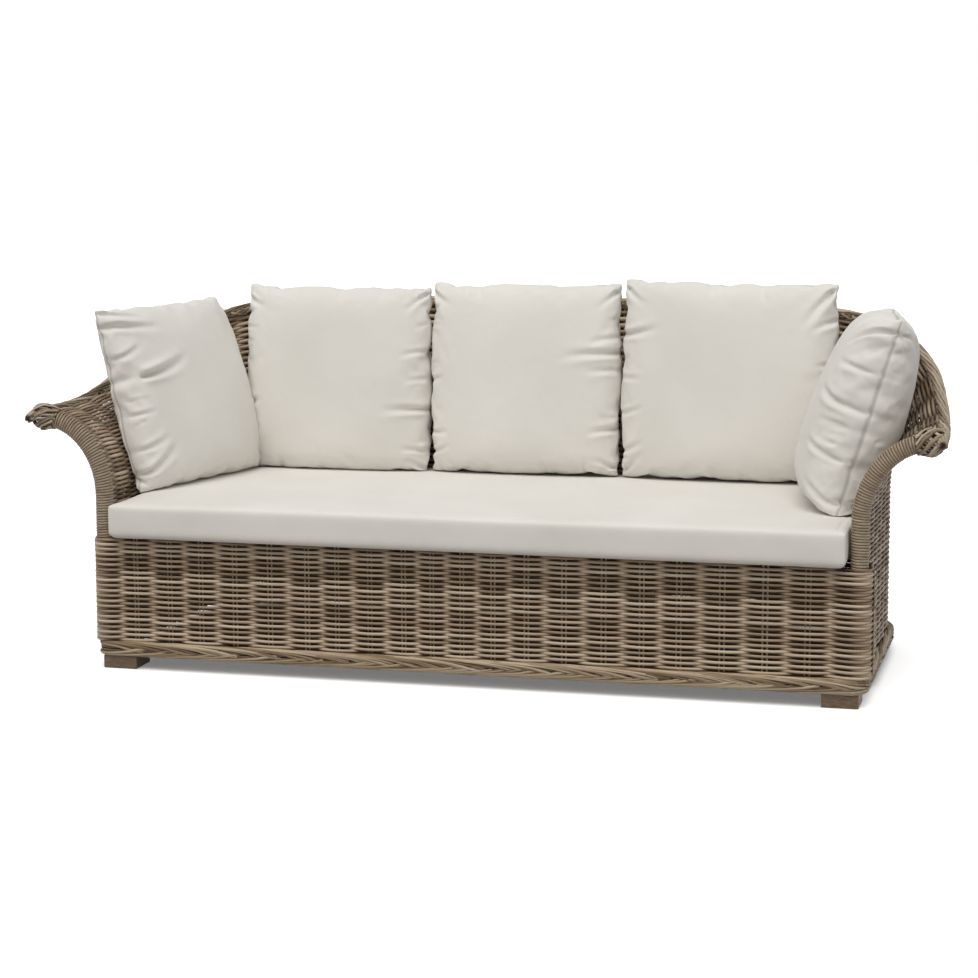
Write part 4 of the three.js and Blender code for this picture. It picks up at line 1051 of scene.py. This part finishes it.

# %% [markdown]
# ## The bottom border
# A flat braid closes the basket at the bottom. It stands proud of the wall and shows two tiers:
# above, strands slant down to the right, and below, they slant up to the right, so that they meet
# in a line of arrowheads. Its core is a plain bundle, painted dark brown as shade, that fills the
# gaps between strands.

# %% Bottom border
BORDER_MIDDLE_Z, BORDER_HALF_HIGH, BORDER_HALF_DEEP = 51.3, 18.0, 11.0
BORDER_OUT = 11.0
FOOT_RADIUS, FOOT_RUN_ON = 19.0, 20.0
BRAID_APART, BRAID_RUN = 24, 300
CORE_STRANDS = 12


def box_section(run, total):
    """A rounded box: a superellipse with corners that strands can turn over."""
    power = 0.55
    across, high = (half * np.sign(way) * np.abs(way) ** power
                    for half, way in ((BORDER_HALF_DEEP - 3.2, COS_AROUND),
                                      (BORDER_HALF_HIGH - 3.0, SIN_AROUND)))
    return np.tile(across, (len(run), 1)), np.tile(high, (len(run), 1))


def foot_path(start, end):
    """Along the foot of the wall, by the distance from the middle of the back."""
    path = np.array([plan_point(distance) for distance in spaced(start, end, 14.0)])
    return path[:, 0] + path[:, 1] * BORDER_OUT + np.array([0, 0, BORDER_MIDDLE_Z]), path[:, 1]


def front_foot_path():
    """Across the front, round both corners and a little along the sides."""
    across = [(x, FRONT_Y - BORDER_OUT) for x in spaced(0, HALF_WIDTH - FOOT_RADIUS, 14)]
    turns = np.linspace(0, math.pi / 2, 9)[1:]
    bend = [(HALF_WIDTH - FOOT_RADIUS + math.sin(turn) * (FOOT_RADIUS + BORDER_OUT),
             FRONT_Y + FOOT_RADIUS - math.cos(turn) * (FOOT_RADIUS + BORDER_OUT))
            for turn in turns]
    back = [(HALF_WIDTH + BORDER_OUT, FRONT_Y + FOOT_RADIUS + past)
            for past in spaced(0, FOOT_RUN_ON, 7)[1:]]
    half = np.array([(x, y, BORDER_MIDDLE_Z) for x, y in across + bend + back])
    ways = np.array([(0.0, -1.0, 0.0)] * len(across)
                    + [(math.sin(turn), -math.cos(turn), 0.0) for turn in turns]
                    + [(1.0, 0.0, 0.0)] * len(back))
    return with_mirror(half), with_mirror(ways)


def lay_bottom_border(word, path, ways):
    name = f"bottom_border_{word}"
    guide, length = tube_guide(name + "_guide", path, ways, box_section)
    number = int(length / BRAID_APART)
    run = BRAID_RUN / length
    upper, lower = (
        lay_strands(f"{name}_{tier}", guide, border_rattan, Strands=number, Points=25,
                    First=(-run * 0.5, low, 0), Step=(1 / number, 0, 0), Run=(run, rise, 0),
                    Scatter=(16 / length, 0.035, 0), Tuck=3.5 * MM, Lift=0.8 * MM,
                    Unrest=2.2 * MM, Radius=3.9 * MM, Uneven=0.35, Flatness=0.72, Sides=6,
                    Seed=seed)
        for tier, low, rise, seed in (("upper", 0.35, -0.38, 31), ("lower", 0.69, 0.30, 37)))
    core = lay_strands(name + "_core", guide, bundle_rattan, Strands=CORE_STRANDS,
                       Points=len(path), First=(0, 0.5 / CORE_STRANDS, 0),
                       Step=(0, 1 / CORE_STRANDS, 0), Run=(1, 0, 0), Lift=-4.4 * MM,
                       Radius=4.4 * MM, Flatness=0.9, Sides=5, Seed=41)
    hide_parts(name)


lay_bottom_border("front", *front_foot_path())
foot_end = ARM_END + ARM_FRONT_Y - (FRONT_Y + FOOT_RADIUS + FOOT_RUN_ON)
for word, start, end in (("left", -CORNER_MIDDLE, -foot_end), ("right", CORNER_MIDDLE, foot_end),
                         ("back", -CORNER_MIDDLE, CORNER_MIDDLE)):
    lay_bottom_border(word, *foot_path(start, end))

# %% [markdown]
# ## Seat cushion
# One long cushion fills the seat. It is a block of foam in a fitted cover, so it keeps its box
# shape and only swells a little, with round soft edges. It is made the way a filled cover behaves:
# the CAD form's outline is filled as a plain block, remeshed to even cells and blown up as cloth
# for a few frames, and no point may move further than a tight cover would let it. Its seams are
# drawn in afterwards. The tools that every cover needs come first.

# %% Cloth tools
CLOTH_STIFFNESS = 15


def read_mesh(mesh, key="co"):
    """The places of a mesh's points, or their ways out with the key normal."""
    flat = np.empty(len(mesh.vertices) * 3)
    mesh.vertices.foreach_get(key, flat)
    return flat.reshape(-1, 3)


def write_points(mesh, points):
    mesh.vertices.foreach_set("co", np.ascontiguousarray(points).ravel())
    mesh.update()


def mark_seam(mesh, values):
    layer = mesh.attributes.new("seam", "FLOAT", "POINT")
    layer.data.foreach_set("value", np.ascontiguousarray(values, np.float32))


def new_piece(name, mesh):
    mesh.name = name
    mesh.materials.append(canvas)
    mesh.polygons.foreach_set("use_smooth", [True] * len(mesh.polygons))
    piece = bpy.data.objects.new(name, mesh)
    scene.collection.objects.link(piece)
    return piece


def add_modifier(piece, name, kind, **settings):
    modifier = piece.modifiers.new(name, kind)
    for key, value in settings.items():
        setattr(modifier, key, value)
    return modifier


def apply_modifiers(piece):
    """Turns the piece into a plain mesh, and gives back the mesh and its points."""
    ready = piece.evaluated_get(bpy.context.evaluated_depsgraph_get())
    mesh = bpy.data.meshes.new_from_object(ready)
    piece.modifiers.clear()
    piece.data = mesh
    return mesh, read_mesh(mesh)


def fill_cover(piece, pressure, frames, spare, bending):
    """Blows a closed cover up as cloth, without weight, and keeps the result as a plain mesh."""
    filling = add_modifier(piece, "filling", "CLOTH")
    cloth = filling.settings
    cloth.quality = 5
    cloth.mass = 0.3
    cloth.air_damping = 1
    cloth.tension_stiffness = cloth.compression_stiffness = CLOTH_STIFFNESS
    cloth.shear_stiffness = CLOTH_STIFFNESS / 2
    cloth.bending_stiffness = bending
    cloth.tension_damping = cloth.compression_damping = cloth.shear_damping = 5
    cloth.bending_damping = 0.5
    cloth.shrink_min = cloth.shrink_max = -spare
    cloth.use_pressure = True
    cloth.uniform_pressure_force = pressure
    cloth.effector_weights.gravity = 0
    filling.collision_settings.use_collision = False
    filling.point_cache.frame_start = 1
    filling.point_cache.frame_end = frames + 5
    for frame_number in range(1, frames + 1):
        scene.frame_set(frame_number)
    apply_modifiers(piece)
    scene.frame_set(1)


def relax(mesh, points, strength=0.5):
    """Moves each point towards the middle of its neighbours."""
    ends = np.empty(len(mesh.edges) * 2, dtype=np.int64)
    mesh.edges.foreach_get("vertices", ends)
    first, second = ends.reshape(-1, 2).T
    total = np.zeros_like(points)
    np.add.at(total, first, points[second])
    np.add.at(total, second, points[first])
    return points + strength * (total / np.bincount(ends, minlength=len(points))[:, None] - points)


def soft_room(room):
    """Room that never quite runs out: as it is where there is plenty, and above 0 where not."""
    return np.where(room > 30, room, np.log1p(np.exp(np.clip(room, -40, 30))))


print("cloth stiffness:", CLOTH_STIFFNESS)

# %% Block of the seat
SEAT_CROWN, SEAT_CELL = 0.006, 0.0118
START_INSET = 0.004


def seat_plan(low, high, front_radius=0.012, back_radius=0.168):
    """The cushion's outline from above: small front corners, large back corners."""
    corners = [(low[0], low[1], front_radius, 180), (high[0], low[1], front_radius, 270),
               (high[0], high[1], back_radius, 0), (low[0], high[1], back_radius, 90)]
    plan = []
    for x, y, radius, first in corners:
        middle_x = x + math.copysign(radius, -x)
        middle_y = y + (radius if y == low[1] else -radius)
        for turn in np.linspace(first, first + 90, 13):
            plan.append((middle_x + radius * math.cos(math.radians(turn)),
                         middle_y + radius * math.sin(math.radians(turn))))
    return plan


def seat_block(low, high):
    """A plain block over the outline, with soft edges and even cells."""
    plan = seat_plan(low, high)
    count = len(plan)
    points = [(x, y, z) for z in (low[2], high[2] - SEAT_CROWN) for x, y in plan]
    faces = [tuple(range(count))[::-1], tuple(range(count, 2 * count))]
    faces += [(i, (i + 1) % count, count + (i + 1) % count, count + i) for i in range(count)]
    mesh = bpy.data.meshes.new("seat_start")
    mesh.from_pydata(points, [], faces)
    piece = new_piece("seat_cushion_cover", mesh)
    add_modifier(piece, "soft_edges", "BEVEL", limit_method="ANGLE",
                 angle_limit=math.radians(60), width=0.011, segments=3)
    add_modifier(piece, "even_cells", "REMESH", mode="VOXEL", voxel_size=SEAT_CELL)
    mesh, points = apply_modifiers(piece)
    start = relax(mesh, points)
    middle = (low + high) / 2
    start = middle + (start - middle) * (1 - 2 * START_INSET / (high - low))
    write_points(mesh, start)
    return piece, start


print("seat cells:", round(SEAT_CELL / MM, 1), "mm")

# %% [markdown]
# ## A tight cover and its seams
# Blown-up cloth bulges like a balloon, and a fitted seat cover doesn't. So the swelling is held to
# 5 mm and eased in against the six flat panels. Then the seam behind the front edge is drawn in,
# the sides pucker a little along their edges, and the top is crowned, because foam is cut high.

# %% Tighten and sew the seat
SWOLLEN, EASE = 0.005, 0.002
SEAM_INSET, SEAM_WIDTH, SEAM_DEPTH = 0.021, 0.0042, 0.0015
PUCKER_REACH, PUCKER_DEPTH = 0.014, 0.0011


def tighten(points, start, low, size):
    """Holds the blown-up points to what a fitted cover allows."""
    moved = points - start
    length = np.linalg.norm(moved, axis=1, keepdims=True)
    points = start + moved * np.minimum(1, SWOLLEN / np.maximum(length, 1e-9))
    # Back to the frame's own length and depth, and flat on the deck
    now_low, now_high = points.min(axis=0), points.max(axis=0)
    points = low + (points - now_low) * (size / (now_high - now_low))
    # What swells past the flat panels is drawn in against them
    points = low + size / 2 + (points - low - size / 2) * (1 + 2 * SWOLLEN / size)
    for axis in range(3):
        for way, panel in ((1, low[axis] + size[axis]), (-1, low[axis])):
            points[:, axis] = panel - way * EASE * soft_room((panel - points[:, axis]) * way / EASE)
    return points


def sew_seat(points, ways, low, high):
    """Draws in the seam, puckers the sides along both edges and crowns the top."""
    x, y, z = points.T
    # The top seam runs just behind the front edge and round the ends, 1 or 2 mm off straight
    inset = np.minimum(y - low[1], np.minimum(x - low[0], high[0] - x))
    sway = 0.0016 * np.sin(x * 9.0 + 1.0) + 0.0009 * np.sin(x * 31.0)
    on_top = np.clip((ways[:, 2] - 0.6) / 0.3, 0, 1)
    seam = np.exp(-(((inset - SEAM_INSET - sway) / SEAM_WIDTH) ** 2)) * on_top
    # Along both edges the sides pucker by about 1 mm, in two uneven waves that mix
    side_way = 1 - np.abs(ways[:, 2])
    along = np.where(np.abs(ways[:, 0]) > np.abs(ways[:, 1]), y, x)
    pucker = (np.sin(along * 133.0 + 2.0 * np.sin(along * 17.0)) * 0.5
              + np.sin(along * 71.0 + 1.3 * np.sin(along * 23.0)) * 0.5)
    from_edge = np.minimum(high[2] - 0.012 - z, z - low[2] - 0.006)
    near_edge = np.exp(-np.clip(from_edge, 0, None) / PUCKER_REACH)
    points = points - ways * (seam * SEAM_DEPTH)[:, None]
    points = points + ways * (side_way * near_edge * pucker * PUCKER_DEPTH)[:, None]
    place = (points - (low + high) / 2) / (high - low) * 2
    swell = SEAT_CROWN * np.clip(1 - place[:, 0] ** 4, 0, 1) * np.clip(1 - place[:, 1] ** 2, 0, 1)
    # Long shallow waves, as the foam isn't quite even
    swell += 0.0016 * np.sin(points[:, 0] * 5.3 + 0.7) * np.sin(points[:, 1] * 8.0 + 1.0) - 0.0012
    points[:, 2] = np.maximum(points[:, 2] + swell * np.clip(ways[:, 2], 0, 1), low[2])
    return points, seam


print("seam behind the edge:", round(SEAM_INSET / MM), "mm")

# %% [markdown]
# ## The seat in place
# The steps follow one another: block, filling, tight cover, a finer mesh, seams. The finished top
# is kept as a surface to cast rays on, because the pillows stand on it.

# %% Seat cushion
def make_seat_cushion():
    low, high = (np.array(v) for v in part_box("seat_cushion"))
    piece, start = seat_block(low, high)
    fill_cover(piece, 4, 9, 0.0, 2.0)
    size = high - low - np.array([0.0, 0.0, SEAT_CROWN])
    write_points(piece.data, tighten(read_mesh(piece.data), start, low, size))
    add_modifier(piece, "finer", "SUBSURF", levels=1, render_levels=1)
    mesh, points = apply_modifiers(piece)
    points, seam = sew_seat(points, read_mesh(mesh, "normal"), low, high)
    write_points(mesh, points)
    mark_seam(mesh, seam * 0.68)
    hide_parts("seat_cushion")
    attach(piece, "seat_cushion_body")
    print("seat cushion:", len(mesh.polygons), "faces")
    return mesh


seat_mesh = make_seat_cushion()
seat_points = read_mesh(seat_mesh)
seat_top = seat_points[:, 2].max()
seat_surface = BVHTree.FromPolygons(seat_points.tolist(),
                                    [tuple(p.vertices) for p in seat_mesh.polygons])
print("seat top:", round(seat_top / MM), "mm")

# %% [markdown]
# ## Loose pillows
# Five square covers, filled with soft wadding: three against the back and one in each corner. Each
# starts as two crowned sheets joined at the edge, cut with 6% of spare cloth, and is blown up for
# twelve frames. The spare cloth gathers in small puckers along the seams while the corners stay
# out as ears. Then each gets the deeper creases that the photograph shows, which run in from a seam
# and pull a notch into it, and stands on its lower edge, which spreads where it meets the seat.

# %% Pillow covers
COVER_CELLS, COVER_WIDTH, COVER_CROWN = 52, 0.5, 0.060
SINK = 0.014  # cloth at the lower edge that is spread flat on the seat
FULL_ACROSS, FULL_UP, FULL_DOWN = 0.095, 0.055, 0.075


def start_cover(width, height, front, back, seed):
    """Two sheets joined at the edge, in metres: X across, Z up, and the front towards -Y."""
    chance = np.random.default_rng(seed)
    spread = 0.8 * math.pi / 2
    share = np.sin(np.linspace(-1, 1, COVER_CELLS + 1) * spread) / math.sin(spread)
    points, seam, index = [], [], {}
    for sheet in (-1, 1):
        for i, u in enumerate(share):
            for k, v in enumerate(share):
                at_edge = i in (0, COVER_CELLS) or k in (0, COVER_CELLS)
                if sheet == 1 and at_edge:
                    index[sheet, i, k] = index[-1, i, k]
                    continue
                index[sheet, i, k] = len(points)
                pull_u = 1 - 0.012 * (1 - v * v) - 0.024 * v**6
                pull_v = 1 - 0.012 * (1 - u * u) - 0.024 * u**6
                crown = (front if sheet < 0 else back) * ((1 - u * u) * (1 - v * v)) ** 0.36
                depth = 0.0 if at_edge else sheet * crown + chance.normal(0, 0.0006)
                points.append((u * width / 2 * pull_u, depth, v * height / 2 * pull_v))
                seam.append(1.0 if at_edge else 0.0)
    faces = []
    for sheet in (-1, 1):
        for i in range(COVER_CELLS):
            for k in range(COVER_CELLS):
                corners = [index[sheet, i, k], index[sheet, i + 1, k],
                           index[sheet, i + 1, k + 1], index[sheet, i, k + 1]]
                faces.append(corners if sheet < 0 else corners[::-1])
    mesh = bpy.data.meshes.new("cover_start")
    mesh.from_pydata(points, [], faces)
    mark_seam(mesh, seam)
    return mesh


def fit_cover(points, half, front, back):
    """Brings a blown-up cover to its own size, in metres, and packs it full."""
    points -= (points.max(axis=0) + points.min(axis=0)) / 2 * np.array([1, 0, 1])
    reach = np.abs(points).max(axis=0)
    points[:, 0] *= half[0] / reach[0]
    points[:, 2] *= half[1] / reach[2]
    points[:, 1] *= np.where(points[:, 1] < 0, front / -points[:, 1].min(),
                             back / points[:, 1].max())
    # Packed full, so the seams between the ears stand out almost as far as the ears
    across, tall = (np.clip(points[:, axis] / reach, -1, 1) for axis, reach in zip((0, 2), half))
    points[:, 0] *= 1 + FULL_ACROSS * (1 - tall**2)
    points[:, 2] *= 1 + np.where(tall > 0, FULL_UP, FULL_DOWN) * (1 - across**2)
    # Wadding sinks: the lower half is a little fuller than the upper
    points[:, 1] *= 1 - 0.10 * tall
    return points


print("cells in a sheet:", COVER_CELLS**2, "and its seam:", 4 * COVER_CELLS, "cells long")

# %% [markdown]
# ## Creases
# A crease in stuffed cloth is a valley with a soft ridge on each side. It starts deep at a seam,
# where the cloth is held, and fades out towards the middle, where the filling presses it smooth.
# Small ones are strewn along all four seams by chance, and the deep ones come from a table.

# %% Creases of a pillow
CREASE_GAIN = 2.7  # a crease is pressed deeper than its number, as the rounding fills it again
SMALL_CREASES = 11


def press_crease(flat, u, v, angle, length, width, depth):
    """How far a crease pushes each point in: a valley that fades, with a ridge beside it."""
    way = np.array([math.cos(math.radians(angle)), math.sin(math.radians(angle))])
    away = flat - np.array([u, v])
    along = away @ way / length
    bend = 0.12 * length * along**2
    across = away @ np.array([-way[1], way[0]]) - bend
    fade = np.clip(1 - along, 0, 1) ** 1.3 * np.clip((along + 0.12) / 0.12, 0, 1)
    spread = width * (0.75 + 0.6 * np.clip(along, 0, 1))
    valley = np.exp(-((across / spread) ** 2))
    ridge = np.exp(-(((across - 2.0 * spread) / (1.3 * spread)) ** 2))
    under = np.exp(-(((across + 2.1 * spread) / (1.3 * spread)) ** 2))
    return depth * fade * (valley - 0.5 * ridge - 0.3 * under)


def crease_cover(points, half, creases, seed):
    """Presses in the small puckers along the seams, and then the creases of the table."""
    chance = np.random.default_rng(seed + 100)
    inward = -np.sign(points[:, 1]) * np.clip(np.abs(points[:, 1]) / 0.012, 0, 1)
    small = []
    for edge in range(4):
        for _ in range(SMALL_CREASES):
            place = chance.uniform(-0.93, 0.93)
            spot = [(-0.985, place), (0.985, place), (place, -0.985), (place, 0.985)][edge]
            small.append((*spot, (0, 180, 90, -90)[edge] + chance.normal(0, 14),
                          chance.uniform(18, 52), chance.uniform(3.5, 5.5),
                          chance.uniform(1.2, 3.2), chance.choice((-1, 1))))
    pushed = np.zeros(len(points))
    flat = points[:, (0, 2)]
    for u, v, angle, length, spread, depth, sheet in small + [c + (-1,) for c in creases]:
        push = press_crease(flat, u * half[0], v * half[1], angle, length * MM, spread * MM,
                            CREASE_GAIN * depth * MM)
        pushed += push * (np.sign(points[:, 1]) == sheet)
    points[:, 1] += inward * pushed
    # A deep crease draws the seam in where it starts
    for u, v, _, _, _, depth in creases:
        edge, along = (0, 2) if abs(u) > abs(v) else (2, 0)
        end, at = (u, v * half[1]) if edge == 0 else (v, u * half[0])
        to_seam = np.clip(half[edge // 2] - np.sign(end) * points[:, edge], 0, None)
        wide, share = (0.026, 1.3) if edge == 2 and end > 0 else (0.010, 0.55)
        notch = np.exp(-(((points[:, along] - at) / wide) ** 2) - (to_seam / 0.028) ** 2)
        points[:, edge] -= np.sign(end) * share * depth * MM * notch
    return points


print("small creases on a pillow:", 4 * SMALL_CREASES)

# %% [markdown]
# ## How a pillow rests
# A soft pillow gives way where it touches something hard. Its cloth is eased back to the inside of
# the arm and to the top of the seat, so that it looks heavy and doesn't cut into either.

# %% Where a pillow touches the arm and the seat
ARM_EASE, SEAT_EASE = 4.0, 0.003  # how softly a pillow meets the arm (mm) and the seat (m)
ARM_FACE = 11.0  # mm from the middle of the arm's wall to the inside of its weave
CLOTH_GAP, NEAR_SEAT = 0.0012, 0.03


def rest_on_arm(points, side):
    """Flattens a pillow softly where it leans on the inside of an arm."""
    at = np.linspace(CORNER_MIDDLE, ARM_END, 40)
    plan_y = np.array([plan_point(d)[0][1] for d in at])
    lines = [wall_line(d, fine_levels) for d in at]
    heights = np.linspace(330, 880, 80)
    inside = np.array([np.interp(heights, line[:, 2], line[:, 0]) for line in lines])
    inside -= ARM_FACE
    y, z = points[:, 1] / MM + SHIFT_Y, points[:, 2] / MM
    # The inside of the arm beside each point, between the four nearest places of the table
    row = np.clip(np.interp(-y, -plan_y, np.arange(len(at))), 0, len(at) - 1.001)
    col = np.clip((z - heights[0]) / (heights[1] - heights[0]), 0, len(heights) - 1.001)
    i, k = row.astype(int), col.astype(int)
    past_i, past_k = row - i, col - k
    limit = ((inside[i, k] * (1 - past_i) + inside[i + 1, k] * past_i) * (1 - past_k)
             + (inside[i, k + 1] * (1 - past_i) + inside[i + 1, k + 1] * past_i) * past_k)
    eased = limit - ARM_EASE * soft_room((limit - side * points[:, 0] / MM) / ARM_EASE)
    top = np.interp(row, np.arange(len(at)), [line[-1, 2] for line in lines])
    below = np.clip((top + 5 - z) / 30, 0, 1)
    points[:, 0] += below * (side * eased * MM - points[:, 0])
    return points


def stand_on_seat(points):
    """Spreads the lowest cloth flat just above the seat."""
    for i in np.nonzero(points[:, 2] < seat_top + NEAR_SEAT)[0]:
        x, y, z = points[i]
        hit = seat_surface.ray_cast(Vector((x, y, seat_top + 0.2)), Vector((0, 0, -1)))[0]
        on_seat = hit is not None and hit.z > seat_top - NEAR_SEAT
        top = hit.z if on_seat else seat_top - 0.004
        points[i, 2] = top + CLOTH_GAP + SEAT_EASE * soft_room((z - top) / SEAT_EASE)
    return points


print("gap under a pillow:", round(CLOTH_GAP / MM, 1), "mm")

# %% [markdown]
# ## A pillow in place
# Each cover is filled, brought to size, creased and turned, and then set into the box of its plain
# CAD pillow, so that it moves and fits as the frame says. The subdivision rounds the last cells.

# %% Make a pillow
SEAM_DRAW = 0.0016


def make_pillow(name, size, turn, creases, seed, grow=(0.0, 0.0), rest_side=0, lift=0.0):
    """Size is width, height, front and back depth in mm; turn is azimuth, lean and roll."""
    width, height, front, back = (v * MM for v in size)
    mesh = start_cover(COVER_WIDTH, COVER_WIDTH * height / width, COVER_CROWN,
                       COVER_CROWN * back / front, seed)
    piece = new_piece(name + "_cover", mesh)
    fill_cover(piece, 3, 12, 0.06, 0.3)
    half = np.array([width / 2, (height + SINK) / 2])
    write_points(piece.data, fit_cover(read_mesh(piece.data), half, front, back))
    add_modifier(piece, "finer", "SUBSURF", levels=1, render_levels=1)
    mesh, points = apply_modifiers(piece)
    seam = np.empty(len(points), np.float32)
    mesh.attributes["seam"].data.foreach_get("value", seam)
    points = crease_cover(points, half, creases, seed)
    write_points(mesh, points)
    points -= read_mesh(mesh, "normal") * (SEAM_DRAW * (seam > 0.9))[:, None]

    # Turned, and set into the box of the CAD pillow
    azimuth, lean, roll = (math.radians(v) for v in turn)
    turned = (Matrix.Rotation(azimuth, 3, "Z") @ Matrix.Rotation(-lean, 3, "X")
              @ Matrix.Rotation(roll, 3, "Y"))
    points = points @ np.array(turned).T
    low, high = (np.array(v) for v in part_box(name))
    low[0] -= grow[0] * MM
    high[0] += grow[1] * MM
    now_low, now_high = points.min(axis=0), points.max(axis=0)
    middle = (low + high) / 2
    points += middle - (now_low + now_high) / 2
    points[:, 0] = (middle[0] + (points[:, 0] - middle[0]) * (high[0] - low[0])
                    / (now_high - now_low)[0])
    points[:, 2] += high[2] + lift * MM - points[:, 2].max()
    if rest_side:
        points = rest_on_arm(points, rest_side)
    points = stand_on_seat(points)
    write_points(mesh, points)
    add_modifier(piece, "rounding", "SUBSURF", levels=1, render_levels=1)
    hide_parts(name)
    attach(piece, name + "_body")
    print(name, "box in mm:", (points.min(axis=0) / MM).round(), (points.max(axis=0) / MM).round())


# %% [markdown]
# ## The five pillows
# Sizes, turns and creases were read off the photograph, pillow by pillow. The right one at the back
# is the widest, the left side pillow leans into its corner with long creases, and the right side
# pillow is the fullest.

# %% Five pillows
# Each crease: place on the front sheet (-1 to 1), angle, length, width and depth in mm
make_pillow("back_cushion_left", (500, 486, 92, 62), (1, 3, 0.2), [
    (0.99, -0.30, 176, 118, 7.0, 9.0), (0.99, 0.31, 184, 72, 5.0, 6.0),
    (0.99, 0.02, 181, 60, 5.0, 4.0), (0.97, 0.90, 214, 75, 6.0, 6.0),
    (0.97, -0.74, 168, 60, 5.0, 5.0), (0.97, -0.93, 150, 64, 6.0, 6.0),
    (-0.99, -0.28, 10, 62, 6.0, 7.0), (-0.99, -0.52, -8, 48, 5.0, 5.0),
    (-0.97, 0.84, -32, 60, 6.0, 5.0), (0.03, 0.99, -80, 52, 6.0, 5.0),
    (0.5, 0.99, -100, 40, 6.0, 3.0), (-0.6, -0.98, 84, 45, 6.0, 4.0),
], 11, grow=(10, 1))
make_pillow("back_cushion_middle", (499, 490, 92, 60), (0, 4, -0.3), [
    (0.99, 0.28, 178, 150, 7.5, 8.5), (0.99, 0.44, 186, 80, 6.0, 5.0),
    (0.99, 0.10, 176, 85, 6.0, 5.0), (0.99, -0.50, 182, 76, 6.0, 8.0),
    (0.97, -0.90, 152, 66, 6.0, 6.0), (-0.99, -0.02, 6, 52, 5.5, 6.0),
    (-0.98, -0.56, -6, 60, 5.0, 5.0), (-0.98, -0.78, 14, 66, 5.0, 5.0),
    (-0.97, 0.88, -38, 62, 6.0, 5.0), (0.97, 0.9, 218, 66, 6.0, 5.0),
    (-0.48, 0.99, -86, 46, 6.0, 5.0), (0.25, -0.98, 92, 40, 6.0, 4.0),
], 12, grow=(1, 3))
make_pillow("back_cushion_right", (531, 502, 92, 62), (0, 3, 0.4), [
    (-0.99, 0.45, 5, 100, 7.0, 8.0), (-0.99, 0.02, -6, 60, 5.0, 4.0),
    (-0.99, -0.34, 12, 70, 5.0, 5.0), (-0.98, -0.72, 20, 72, 6.0, 5.0),
    (-0.97, -0.92, 38, 74, 6.0, 6.0), (0.95, 0.90, 226, 110, 8.0, 8.0),
    (0.99, 0.62, 196, 70, 6.0, 5.0), (0.99, 0.2, 182, 52, 5.0, 4.0),
    (0.32, 0.99, -96, 50, 6.0, 5.0), (-0.18, 0.99, -84, 46, 6.0, 4.0),
    (0.97, -0.88, 148, 70, 6.0, 5.0), (-0.97, 0.9, -44, 70, 6.0, 5.0),
    (-0.1, -0.98, 95, 44, 6.0, 4.0),
], 13, grow=(0, 20))
make_pillow("side_cushion_left", (506, 470, 108, 38), (74, 16.1, -0.4), [
    (-0.80, 0.20, 4, 170, 9.0, 11.0), (-0.96, 0.78, -14, 160, 8.0, 7.0),
    (-0.96, 0.93, -22, 120, 7.0, 6.0), (-0.99, 0.44, 12, 70, 6.0, 5.0),
    (-0.99, -0.18, -6, 56, 5.0, 4.0), (-0.98, -0.80, 24, 120, 8.0, 7.0),
    (-0.97, -0.55, 10, 80, 6.0, 5.0), (0.98, 0.88, 222, 60, 6.0, 5.0),
    (0.99, -0.2, 178, 44, 5.0, 4.0), (0.97, -0.86, 144, 60, 6.0, 5.0),
    (-0.2, 0.99, -84, 44, 6.0, 4.0), (0.35, 0.99, -98, 40, 6.0, 4.0),
], 14, grow=(8, 8), rest_side=-1, lift=12)
make_pillow("side_cushion_right", (490, 478, 132, 92), (-83, 16.5, -1.2), [
    (0.97, 0.84, 206, 110, 7.0, 9.0), (0.99, 0.44, 172, 74, 6.0, 5.5),
    (0.99, 0.06, 162, 120, 7.0, 8.0), (0.99, -0.12, 176, 62, 5.5, 5.0),
    (0.99, -0.44, 160, 96, 6.0, 6.0), (0.98, -0.86, 146, 80, 7.0, 6.0),
    (-0.97, 0.88, -40, 70, 6.0, 5.0), (0.5, 0.99, -100, 60, 6.0, 6.0),
    (-0.99, 0.2, 4, 60, 6.0, 5.0), (-0.98, -0.6, 8, 60, 6.0, 5.0),
], 15, grow=(18, 14), rest_side=1, lift=14)

# %% [markdown]
# ## Finish
# The guides have done their work.

# %% Remove the guides and finish
for guide in guides:
    bpy.data.objects.remove(guide)
